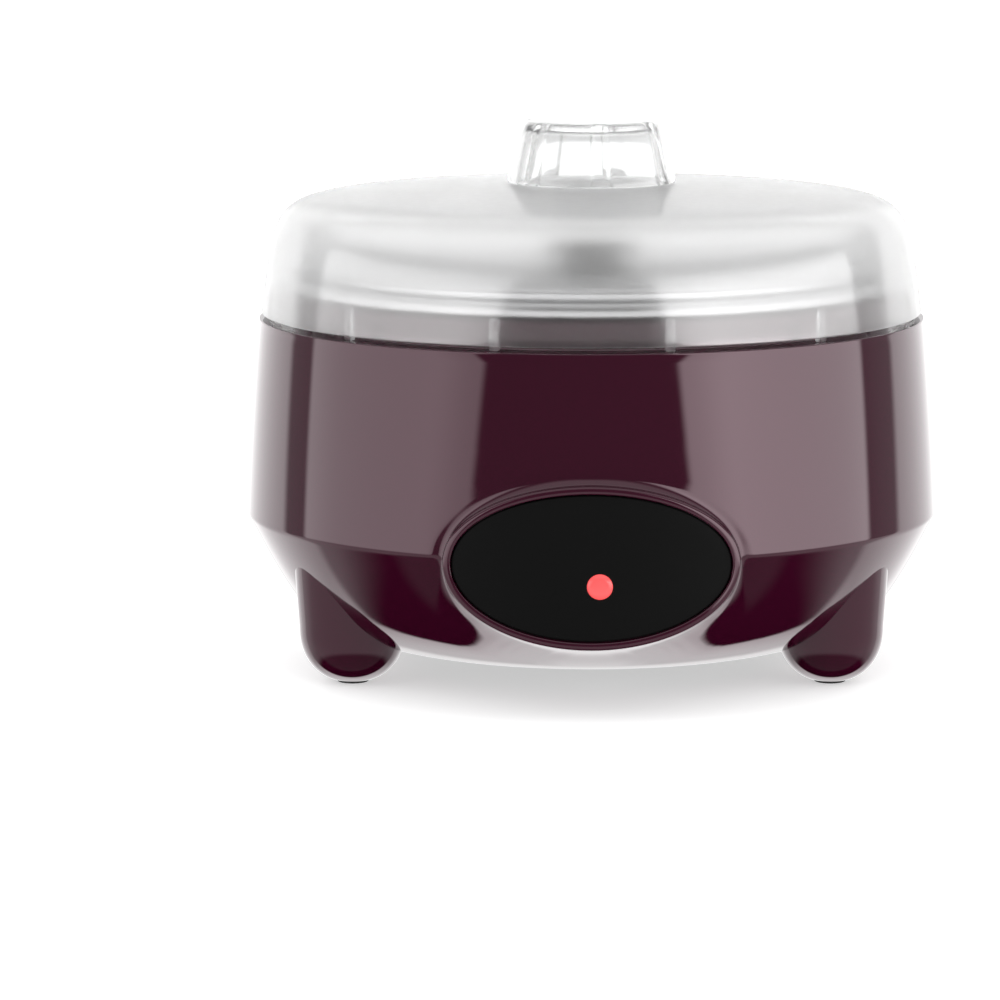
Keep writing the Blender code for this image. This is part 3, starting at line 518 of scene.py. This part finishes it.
def spoke_line(wall, edge, foot, oval_turn):
    """Points from the patch's edge to the middle of the recess."""
    points = []
    for k in range(9):
        t = (k / 8) ** 0.9
        points.append(wall.point(edge[0] + (foot[0] - edge[0]) * t, edge[1] + (foot[1] - edge[1]) * t))
    end = Vector(points[-1])
    ahead = wall.point(foot[0] + (edge[0] - foot[0]) * 0.01, foot[1] + (edge[1] - foot[1]) * 0.01)
    away = (Vector(ahead) - end).normalized()

    edge_round = 0.7
    start = Vector(on_cylinder(BOSS_HALF, oval_turn, BOSS_R - edge_round))
    inward = Vector((-start.x, -start.y, 0)).normalized()
    outward = Vector((math.cos(oval_turn) / BOSS_HALF[0], 0, math.sin(oval_turn) / BOSS_HALF[1])).normalized()
    draft = math.radians(10)
    down = inward * math.cos(draft) + outward * math.sin(draft)
    span = (start - end).length
    points += bezier(end, end - away * span * 0.5, start + down * span * 0.33, start, 14)

    points += [
        on_cylinder(shrunk(BOSS_HALF, edge_round * (1 - math.cos(a))), oval_turn,
                    BOSS_R - edge_round * (1 - math.sin(a)))
        for a in (math.radians(22.5 * i) for i in range(1, 5))
    ]
    lip = 0.35
    points.append(on_cylinder(shrunk(RECESS_HALF, -0.8), oval_turn, BOSS_R))
    points += [
        on_cylinder(shrunk(RECESS_HALF, -lip * (1 - math.sin(a))), oval_turn,
                    BOSS_R - lip * (1 - math.cos(a)))
        for a in (math.radians(22.5 * i) for i in range(0, 5))
    ]
    points.append(on_cylinder(RECESS_HALF, oval_turn, BOSS_R - 1.0))
    points.append(on_cylinder(RECESS_HALF, oval_turn, RECESS_FLOOR_R))
    for scale in (0.97, 0.7, 0.35):
        half = (RECESS_HALF[0] * scale, RECESS_HALF[1] * scale)
        points.append(on_cylinder(half, oval_turn, RECESS_FLOOR_R))
    return points


def housing(finish):
    wall = Wall()
    rows, low, high = body_rows(wall)
    step = math.tau / FINE
    reach = round(PATCH_TURN / step)
    columns = [i * step for i in range(-reach, reach + 1)]

    skin = []
    faces = []
    for s in rows:
        skin += [wall.point(i * step, s) for i in range(FINE)]
    for k in range(len(rows) - 1):
        in_patch = rows[k] >= low - 1e-6 and rows[k + 1] <= high + 1e-6
        for i in range(FINE):
            if in_patch and (i < reach or i >= FINE - reach):
                continue
            j = (i + 1) % FINE
            faces.append((k * FINE + i, k * FINE + j, (k + 1) * FINE + j, (k + 1) * FINE + i))

    inner = [p for p in offset([tuple(p) for p in wall.line[::3]], WALL) if RING_Z < p[1] < LEDGE_Z - 6]
    inside = rounded([
        (RIM_R, RIM_Z - 0.5), (RIM_R, RIM_Z, 0.5), (RIM_INNER_R, RIM_Z, 0.4), (RIM_INNER_R, LEDGE_Z, 0.2),
        (LEDGE_R, LEDGE_Z, 0.3), (LEDGE_R, LEDGE_Z - 1.5), (RIM_R - WALL + 0.4, LEDGE_Z - 5),
        *reversed(inner), (54.0, RING_Z), (HOLE_R, RING_Z, 0.4), (HOLE_R, SEAT_Z, 0.4), (SEAT_R, SEAT_Z, 0.2),
        (SEAT_R, BASE_Z, 0.3), (BASE_R, BASE_Z),
    ])[1:]
    inside.insert(0, (RIM_R, RIM_Z - 0.5))
    lining = turned(inside, FINE, closed=False)
    patch = window_patch(wall, rows, low, high, columns)
    shape = merge((skin, faces), lining, patch)
    add("housing", *shape, finish, "base", "housing_plum", ["body_shell"], sharp=38)
    return wall


def window(finish):
    """Oval plate curved like the boss, with a round hole for the lens."""
    half, front, back, edge = (33.5, 17.6), 88.4, 87.2, 0.45
    hole = 3.1
    spokes = []
    for k in range(MEDIUM):
        turn = math.tau * k / MEDIUM
        outer = on_cylinder(shrunk(half, edge), turn, front)
        aim = math.atan2(outer[2] - LAMP_Z, outer[0] - LAMP_X)
        near_x, near_z = LAMP_X + hole * math.cos(aim), LAMP_Z + hole * math.sin(aim)
        line = [(near_x, -math.sqrt(back**2 - near_x**2), near_z)]
        line.append((near_x, -math.sqrt((front - 0.15) ** 2 - near_x**2), near_z))
        for i in range(11):
            t = (i / 10) ** 1.3
            start_x, start_z = near_x + 0.15 * math.cos(aim), near_z + 0.15 * math.sin(aim)
            x, z = start_x + (outer[0] - start_x) * t, start_z + (outer[2] - start_z) * t
            line.append((x, -math.sqrt(front**2 - x * x), z))
        for i in range(1, 5):
            a = math.radians(22.5 * i)
            size = shrunk(half, edge * (1 - math.sin(a)))
            line.append(on_cylinder(size, turn, front - edge * (1 - math.cos(a))))
        line.append(on_cylinder(half, turn, back))
        spokes.append(line)
    rings = list(zip(*spokes))
    rings.append(rings[0])
    add("window_plate", *strip(rings), finish, "base", "window_black", ["front_window"])


def facing_front(shape, x, z):
    """A turned shape whose heights become distances in front of the centre line."""
    return moved(shape, Matrix.Translation((x, 0, z)) @ Matrix.Rotation(math.pi / 2, 4, "X"))


def lens(finish):
    outline = [(0, 86.3), *rounded([(4.2, 86.3), (4.2, 86.85), (3.0, 86.85), (3.0, 88.42, 0.3)])[:-1]]
    outline += bezier((2.9, 88.42), (2.0, 88.52), (1.0, 88.56), (0, 88.56), 4)
    shape = facing_front(turned(outline, SMALL, closed=False), LAMP_X, LAMP_Z)
    add("lamp_lens", *shape, finish, "base", "lens_red", ["indicator_lens"])


def gland(finish):
    """Bush in the back wall that the supply cord comes out of."""
    bore, neck, flange = 3.6, 5.1, 7.5
    outline = rounded([
        (bore, 80.6, 0.3), (neck + 1.3, 80.6, 0.3), (neck + 1.3, 82.6, 0.3), (neck, 84.0), (neck, 86.7),
        (flange, 86.7, 0.2), (flange, 88.9, 0.7), (bore, 88.9, 0.8),
    ])
    shape = moved(
        turned(outline, SMALL), Matrix.Translation((0, 0, GLAND_Z)) @ Matrix.Rotation(-math.pi / 2, 4, "X")
    )
    add("cord_bush", *shape, finish, "base", "cover_black", ["cord_gland"])


# --- feet and base ---------------------------------------------------------------------------------

FOOT_PITCH_R = 68.8
FEET = {"front_left": -150, "front_right": -30, "rear": 90}


def foot_radius(z):
    """The foot's radius at height z: a rounded end below a slight taper."""
    waist_z, waist_r, exponent = 14.0, 13.3, 2.2
    if z < waist_z:
        return waist_r * (1 - ((waist_z - z) / waist_z) ** exponent) ** (1 / exponent)
    return waist_r + (z - waist_z) * 0.072


def foot_body(wall, centre):
    """(points, faces) of a foot, from the recess for its pad up to just inside the bowl."""
    sole, recess_r, recess_z = 0.8, 4.2, 2.7
    into_bowl, levels = 0.5, 26
    spin = [math.tau * i / MEDIUM for i in range(MEDIUM)]

    def at(angle, r, z):
        return (centre.x + r * math.cos(angle), centre.y + r * math.sin(angle), z)

    tops = []
    for a in spin:
        z = 12.0
        for _ in range(30):  # closes in on the height at which the foot meets the bowl
            x, y, _ = at(a, foot_radius(z), z)
            z = z * 0.5 + 0.5 * (wall.bowl_height(math.hypot(x, y)) + into_bowl)
        tops.append(z)

    recess = [(recess_r, recess_z), (recess_r, sole + 0.2), (recess_r + 0.2, sole)]
    rings = [[at(a, r, z) for a in spin] for r, z in recess]
    for k in range(levels + 1):
        t = 1 - math.cos(math.pi / 2 * k / levels)
        heights = [sole + (top - sole) * t for top in tops]
        rings.append([at(a, foot_radius(z), z) for a, z in zip(spin, heights)])
    verts, faces = strip(rings)
    faces += [tuple(range(MEDIUM)), tuple(len(verts) - MEDIUM + i for i in range(MEDIUM))]
    return verts, faces


def feet(wall, finish, pad_finish):
    pad_outline = [(0, 0), *rounded([(0, 0), (4.0, 0, 0.5), (4.0, 2.4, 0.1), (0, 2.4)])[1:-1], (0, 2.4)]
    for side, angle in FEET.items():
        centre = Matrix.Rotation(math.radians(angle), 4, "Z") @ Vector((FOOT_PITCH_R, 0, 0))
        body = foot_body(wall, centre)
        add(f"foot_{side}_body", *body, finish, "base", "housing_plum", [f"foot_{side}"])
        pad = moved(turned(pad_outline, SMALL, closed=False), Matrix.Translation(centre))
        add(f"foot_{side}_pad", *pad, pad_finish, "base", "pad_rubber", [f"foot_pad_{side}"])


# --- liner, plate, pot and inner lid ---------------------------------------------------------------


def liner(finish):
    """Tub that the pot hangs in, with the flange that the dome's ribs rest on."""
    outline = rounded([
        (55.0, 24.0), (73.9, 24.0), (75.9, 26.0), (75.9, 86.3), (81.7, 86.3, 0.2), (81.7, 88.0, 0.4),
        (75.9, 88.0, 0.8), (75.9, 95.1, 0.7), (74.2, 95.1, 0.7), (74.2, 25.7, 2.2), (55.0, 25.7, 0.3),
    ], 6)
    add("liner_tub", *turned(outline, FINE), finish, "base", "housing_plum", ["inner_liner"])


def plate(finish):
    """Warming plate under the pot."""
    low, top, r, edge = 26.0, 27.3, 60.0, 0.4
    outline = [(0, low), (r - edge, low), (r, low + edge), (r, top - edge), (r - edge, top)]
    outline += [(40, top), (20, top), (0, top)]
    shape = turned(outline, FINE, closed=False)
    add("warming_plate", *shape, finish, "base", "plate_aluminium", ["heating_plate"])


POT_R, POT_IN_R, POT_Z, CURL_R, CURL_Z, POT_TOP = 72.0, 71.3, 27.6, 75.6, 95.4, 99.7


def pot(finish):
    """Drawn steel pot with a rolled rim."""
    corner = 9.0
    k = 0.55 * corner
    base_r, wall_z = POT_R - corner, POT_Z + corner
    outside = [(0, POT_Z), (base_r * 0.5, POT_Z), (base_r, POT_Z)]
    outside += bezier((base_r, POT_Z), (base_r + k, POT_Z), (POT_R, wall_z - k), (POT_R, wall_z), 10)
    outside += [(POT_R, 60.0), (POT_R, 94.6), (POT_R + 0.2, CURL_Z)]
    curl_bottom = (CURL_R - 1.0, CURL_Z + 0.05)
    outside.append(curl_bottom)
    outside += bezier(curl_bottom, (CURL_R, CURL_Z + 0.1), (CURL_R + 0.05, 96.5), (CURL_R, 97.4), 5)
    outside += bezier((CURL_R, 97.4), (CURL_R, 99.0), (CURL_R - 0.6, POT_TOP), (CURL_R - 2.1, POT_TOP), 6)
    outside += bezier((CURL_R - 2.1, POT_TOP), (72.2, POT_TOP), (POT_IN_R, 98.8), (POT_IN_R, 97.6), 6)
    floor = POT_Z + 0.7
    outside += [(POT_IN_R, 60.0), (POT_IN_R, wall_z)]
    outside += bezier((POT_IN_R, wall_z), (POT_IN_R, wall_z - k), (base_r + k, floor), (base_r, floor), 10)
    outside += [(base_r * 0.5, floor), (0, floor)]
    add("steel_pot", *turned(outside, FINE, closed=False), finish, "pot", "pot_steel", ["inner_pot"])


def inner_lid(finish):
    """Pressed lid: low crown, a groove, a rolled edge and a plug that sits inside the pot."""
    sheet = 0.7
    top = [(1.8, 103.6), (18, 103.52), (35, 103.3), (50, 102.95), (64, 102.5)]
    top += bezier((64, 102.5), (68, 102.3), (70.5, 101.75), (71.6, 101.7), 5)
    top += bezier((71.6, 101.7), (72.8, 101.65), (73.2, 102.85), (74.2, 102.9), 6)
    top += bezier((74.2, 102.9), (75.0, 102.9), (75.3, 102.5), (75.2, 102.1), 4)
    top += bezier((75.2, 102.1), (75.1, 101.6), (74.4, 101.45), (73.6, 101.4), 4)
    top += [(71.9, 101.2), (71.9, 100.0), (70.8, 100.0)]
    top += [(70.8, 98.8), (70.6, 98.6), (70.2, 98.6), (70.1, 98.8)]
    top += bezier((70.1, 100.6), (70.1, 101.3), (69.0, 101.6), (64, 102.5 - sheet), 5)
    top += [(50, 102.95 - sheet), (35, 103.3 - sheet), (18, 103.52 - sheet), (1.8, 103.6 - sheet)]
    add("steel_lid", *turned(top, FINE), finish, "inner_lid", "pot_steel", ["inner_lid"])


def inner_knob(finish):
    """Mushroom knob on a short neck, with a blind hole for its screw."""
    hole_r, hole_top, low, top = 1.8, 109.0, 103.9, 111.0
    neck = rounded([(hole_r, low), (6.5, low, 0.4), (6.0, low + 0.9, 0.8)])[1:]
    outline = [(0, hole_top), (hole_r, hole_top), (hole_r, low), *neck]
    outline += bezier((6.0, 105.0), (6.2, 105.6), (10.8, 105.2), (11.2, 106.8), 7)
    outline += bezier((11.2, 106.8), (11.6, 110.6), (7.0, top), (0, top), 9)
    shape = turned(outline, SMALL, closed=False)
    add("steel_lid_knob", *shape, finish, "inner_lid", "knob_black", ["inner_lid_knob"])


# --- dome and its knob -----------------------------------------------------------------------------

DOME_EDGE_R, DOME_EDGE_Z = 83.85, 89.55
DOME_SIDE_R, DOME_SIDE_Z = 82.3, 101.7
DOME_SHOULDER_R, DOME_SHOULDER_Z = 60.0, 119.8
DOME_TOP_Z, DOME_WALL = 122.0, 2.0


def dome(finish):
    """Shallow dome of even thickness, with ribs inside its edge that hold it off the housing."""
    edge, side = (DOME_EDGE_R, DOME_EDGE_Z), (DOME_SIDE_R, DOME_SIDE_Z)
    shoulder = (DOME_SHOULDER_R, DOME_SHOULDER_Z)
    outer = bezier(edge, (83.4, 93.6), (82.9, 97.6), side, 8)
    up, along = (side[0] - 2.2, side[1] + 15.5), (shoulder[0] + 17, shoulder[1] - 1.1)
    outer += bezier(side, up, along, shoulder, 22)
    outer += bezier(shoulder, (45, 120.8), (20, DOME_TOP_Z), (0, DOME_TOP_Z), 16)
    inner = [p for p in offset([edge, *outer], DOME_WALL) if p[0] > 1.5]
    lip = rounded([inner[0], (edge[0] - DOME_WALL, edge[1], 0.35), (*edge, 0.35), outer[0]])[1:-1]
    outline = [(0, DOME_TOP_Z - DOME_WALL), *reversed(inner[1:]), *lip, *outer]

    count = 12
    ribs = []
    for i in range(count):
        turn = math.radians(-90 - 1.6 + 360 / count * (i + 0.5))
        rib = bevelled_box((80.0, -1.2, 88.3), (81.9, 1.2, 96.0), 0.35)
        ribs.append(moved(rib, Matrix.Rotation(turn, 4, "Z")))
    shape = merge(turned(outline, FINEST, closed=False), *ribs)
    add("dome_lid", *shape, finish, "outer_lid", "dome_frosted", ["outer_lid"])


KNOB_MOUTH_Z, KNOB_TOP_Z = 122.3, 137.9
FLUTES, FIRST_FLUTE = 7, math.radians(-90 + 6.3)
FLUTE_HALF, FLUTE_DEPTH = 2.3, 1.5
KNOB_STEPS = 48 * FLUTES  # a whole number to each flute


def fluted(turn, r, z):
    """Pulls the knob's outside in along upright flutes."""
    solid_r, full_r, across_r = 14, 18, 20.0  # the flutes fade out from full_r in to solid_r
    outside = r > 19.0 - (z - KNOB_MOUTH_Z) * 0.16 or z > 136.5
    if not outside or r < 12 or z <= KNOB_MOUTH_Z:
        return r, z
    pitch = math.tau / FLUTES
    away = abs((turn - FIRST_FLUTE + pitch / 2) % pitch - pitch / 2) * across_r
    if away > FLUTE_HALF:
        return r, z
    bowl = math.sqrt(max(0.0, 1 - (away / FLUTE_HALF) ** 2))
    ease = min(1.0, max(0.0, (r - solid_r) / (full_r - solid_r)))
    return r - FLUTE_DEPTH * bowl * ease, z


def dome_knob(finish):
    """Hollow clear cup, mouth down, welded to the dome's crown."""
    low, top, inner_top = KNOB_MOUTH_Z, KNOB_TOP_Z, 135.5
    outer = [(21.3, low), (21.25, 123.4), (20.9, 124.4)]
    outer += bezier((20.9, 124.4), (20.2, 127.6), (19.2, 132.0), (18.45, 135.6), 10)
    outer += bezier((18.45, 135.6), (18.1, 137.2), (17.3, top), (15.6, top), 8)
    outer += [(10, top), (5, top), (0, top)]
    inner = [(18.9, low), (18.4, 124.4), (16.9, 131.0)]
    inner += bezier((16.9, 131.0), (16.0, 134.8), (15.2, inner_top), (13.0, inner_top), 6)
    inner += [(6, inner_top), (0, inner_top)]
    shape = turned([*reversed(inner), *outer], KNOB_STEPS, closed=False, reach=fluted)
    add("dome_lid_knob", *shape, finish, "outer_lid", "knob_clear", ["lid_knob"], sharp=50)


# --- what stays from the CAD -----------------------------------------------------------------------


def dress(node, finish):
    """A better material on a CAD node that is shown as it is."""
    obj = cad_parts[node]
    for slot in obj.material_slots:
        slot.material = finish
    if not obj.material_slots:
        obj.data.materials.append(finish)


def dress_cad():
    """Materials for the base cover and the inner parts. It gives back the black, which the gland shares."""
    screw = bare_metal("screw_steel", (0.6, 0.6, 0.61))
    black = matte_black("cover_black", 0.022)
    brown, blue = moulded("wire_brown", (0.16, 0.06, 0.02)), moulded("wire_blue", (0.03, 0.1, 0.45))
    finishes = {
        screw: [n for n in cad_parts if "screw" in n] + ["heater_retainer"],
        black: ["base_cover", "thermostat"],
        moulded("board_green", (0.02, 0.12, 0.05), 0.3, 0.5): ["lamp_board"],
        moulded("led_tinted", (0.8, 0.2, 0.2), 0.1, 0.2): ["indicator_led"],
        moulded("film_brown", (0.3, 0.12, 0.03)): ["heater_film"],
        felt(): ["insulation_pad"],
        bare_metal("fuse_brass", (0.8, 0.6, 0.3), 0.2, 0.35): ["thermal_fuse"],
        moulded("block_ivory", (0.75, 0.72, 0.62)): ["terminal_block"],
        brown: ["lead_live", "lead_fuse", "lead_thermostat"],
        blue: ["lead_neutral"],
        moulded("wire_white", (0.8, 0.8, 0.78)): ["lead_lamp"],
    }
    for finish, nodes in finishes.items():
        for node in nodes:
            dress(node, finish)
    return black


# --- studio ----------------------------------------------------------------------------------------


def floor():
    """A pale floor, large enough to fill the view. Gloss doesn't mirror it: the world does that."""
    side = 9.0
    mesh = bpy.data.meshes.new("floor")
    corners = [(-side, -side, 0), (side, -side, 0), (side, side, 0), (-side, side, 0)]
    mesh.from_pydata(corners, [], [(0, 1, 2, 3)])
    lift = dict(Emission_Color=(1, 1, 1, 1), Emission_Strength=0.5)
    made = Finish("floor_pale", (0.88, 0.88, 0.88), 0.9, **lift)
    made.vary_roughness(made.noise(3, 2), 0.85, 0.95)
    mesh.materials.append(made.material)
    obj = bpy.data.objects.new("floor", mesh)
    obj.visible_glossy = False
    bpy.context.scene.collection.objects.link(obj)


class Sky:
    """A world shader that goes by direction, and short ways to add to its nodes."""

    def __init__(self):
        self.world = bpy.data.worlds.new("studio")
        bpy.context.scene.world = self.world
        self.world.use_nodes = True
        self.nodes = self.world.node_tree.nodes
        self.links = self.world.node_tree.links
        place = self.nodes.new("ShaderNodeTexCoord").outputs["Generated"]
        split = self.nodes.new("ShaderNodeSeparateXYZ")
        self.links.new(place, split.inputs[0])
        self.x, self.y, self.z = split.outputs
        back = self.math("MULTIPLY", self.y, -1.0)
        self.side = self.math("ARCTAN2", self.x, back)  # 0 at the front, positive to the right

    def math(self, operation, *values):
        made = self.nodes.new("ShaderNodeMath")
        made.operation = operation
        for socket, value in zip(made.inputs, values):
            if isinstance(value, (int, float)):
                socket.default_value = value
            else:
                self.links.new(value, socket)
        return made.outputs[0]

    def ramp(self, value, start, end, soft=True):
        """0 before start and 1 after end."""
        made = self.nodes.new("ShaderNodeMapRange")
        made.interpolation_type = "SMOOTHSTEP" if soft else "LINEAR"
        made.inputs["From Min"].default_value = start
        made.inputs["From Max"].default_value = end
        self.links.new(value, made.inputs["Value"])
        return made.outputs["Result"]

    def plus(self, first, second):
        return self.math("ADD", first, second)

    def less(self, first, second):
        """first with second taken off."""
        return self.math("SUBTRACT", first, second)

    def times(self, first, *others):
        for other in others:
            first = self.math("MULTIPLY", first, other)
        return first

    def without(self, value):
        return self.less(1.0, value)


def side_panel(sky, side, near, far, bright, fade):
    """A tall panel on one side, from near to far in degrees from the front. It fades towards its far edge."""
    degrees = math.radians
    blur = 1.6
    away = sky.math("ABSOLUTE", sky.side)
    lean = sky.times(sky.z, degrees(45))  # the panels close in towards their tops
    turn = sky.plus(away, lean)
    here = sky.ramp(sky.times(sky.side, side), 0.0, 0.01)
    edge = sky.ramp(turn, degrees(near - blur), degrees(near + blur))
    gather = sky.plus(sky.times(sky.ramp(turn, degrees(near), degrees(near + 18)), 0.3), 0.7)
    end = sky.without(sky.ramp(away, degrees(far - blur), degrees(far + blur)))
    return sky.times(sky.less(bright, sky.times(away, fade)), here, edge, gather, end)


def rear_wall(sky, below, behind):
    """White behind, brighter far below, and softer straight behind and high up."""
    away = sky.math("ABSOLUTE", sky.side)
    deep = sky.times(sky.math("MAXIMUM", sky.less(below, 0.57), 0.0), 5.5)
    wall = sky.times(behind, sky.plus(1.4, sky.math("MINIMUM", deep, 1.2)))
    straight = sky.times(sky.ramp(away, math.radians(163), math.radians(173)), sky.ramp(sky.z, -0.5, -0.3))
    raised = sky.ramp(sky.z, 0.2, 0.5)
    return sky.times(wall, sky.without(sky.times(straight, 0.5)), sky.without(sky.times(raised, 0.5)))


def fill_light(sky, below, behind):
    """Dim light all round but not from far below at the back, a low band in front, and light overhead."""
    front = sky.ramp(sky.y, 0.05, -0.05)
    dark = sky.times(sky.ramp(below, 0.45, 0.65), sky.without(front))
    dim = sky.times(sky.without(dark), 0.17)
    low_band = sky.less(sky.ramp(below, 0.14, 0.22), sky.ramp(below, 0.6, 0.74))
    low_band = sky.times(low_band, sky.without(behind), 0.7)
    overhead = sky.times(sky.ramp(sky.z, 0.3, 0.6), 0.95)
    return sky.plus(sky.plus(dim, low_band), overhead)


def surroundings():
    """A dim front between two tall panels, a gap beyond each of them, and white behind and overhead."""
    sky = Sky()
    below = sky.times(sky.z, -1.0)
    wall_edge = sky.math("MAXIMUM", sky.less(0.565, sky.times(below, 0.29)), 0.46)
    behind = sky.ramp(sky.less(sky.y, wall_edge), -0.035, 0.035)

    panels = sky.plus(side_panel(sky, -1, 38.0, 109.5, 3.0, 0.55), side_panel(sky, 1, 31.3, 104.3, 5.3, 1.35))
    panels = sky.times(panels, sky.ramp(sky.z, -0.22, -0.12), sky.without(sky.ramp(sky.z, 0.15, 0.34)))
    gap = sky.ramp(sky.math("ABSOLUTE", sky.side), math.radians(90), math.radians(112))
    gap = sky.times(gap, 0.27, sky.ramp(sky.z, -0.6, -0.3))
    bright = sky.math("MAXIMUM", panels, rear_wall(sky, below, behind))
    total = sky.plus(bright, sky.plus(gap, fill_light(sky, below, behind)))

    most_seen_through = 0.86  # keeps clear plastic a little darker than the white behind it
    through = sky.nodes.new("ShaderNodeLightPath").outputs["Is Transmission Ray"]
    mix = sky.nodes.new("ShaderNodeMix")
    sky.links.new(through, mix.inputs["Factor"])
    sky.links.new(total, mix.inputs["A"])
    sky.links.new(sky.math("MINIMUM", total, most_seen_through), mix.inputs["B"])
    background = sky.nodes["Background"]
    background.inputs["Color"].default_value = (1, 1, 1, 1)
    sky.links.new(mix.outputs["Result"], background.inputs["Strength"])


def camera():
    """In front and a little above, with a long lens. The shift frames the object off the middle."""
    distance, elevation = 1.204, math.radians(7.49)
    aim = Vector((0, 0, 0.0663))
    data = bpy.data.cameras.new("camera")
    data.lens, data.sensor_width = 169.7, 36.0
    data.shift_x, data.shift_y = -0.0915, -0.1
    data.clip_end = 50
    obj = bpy.data.objects.new("camera", data)
    back = Vector((0, -math.cos(elevation), math.sin(elevation)))
    obj.location = aim + back * distance
    obj.rotation_euler = (-back).to_track_quat("-Z", "Y").to_euler()
    bpy.context.scene.collection.objects.link(obj)
    bpy.context.scene.camera = obj


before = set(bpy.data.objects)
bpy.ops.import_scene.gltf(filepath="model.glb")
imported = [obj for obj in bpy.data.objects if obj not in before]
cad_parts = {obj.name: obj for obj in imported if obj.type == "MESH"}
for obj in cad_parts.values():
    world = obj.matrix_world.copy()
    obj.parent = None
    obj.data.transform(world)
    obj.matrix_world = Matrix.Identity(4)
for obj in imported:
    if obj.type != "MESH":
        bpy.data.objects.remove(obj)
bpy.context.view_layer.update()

gloss = plum("plum_gloss", 1.5)
black = dress_cad()
skin = housing(gloss)
window(window_black())
lens(lens_red())
gland(black)
feet(skin, gloss, rubber())
liner(plum("plum_liner", 1.8))
plate(spun_steel("plate_aluminium", 0.75, 0.25, 0.4))
pot(spun_steel("pot_steel", 0.72, 0.07, 0.14))
inner_lid(spun_steel("lid_steel", 0.74, 0.07, 0.14, 70.5))
inner_knob(matte_black("knob_black", 0.018, specular=0.2))
dome(frosted_dome())
dome_knob(clear_plastic())

floor()
surroundings()
camera()
bpy.context.scene.view_settings.view_transform = "Standard"
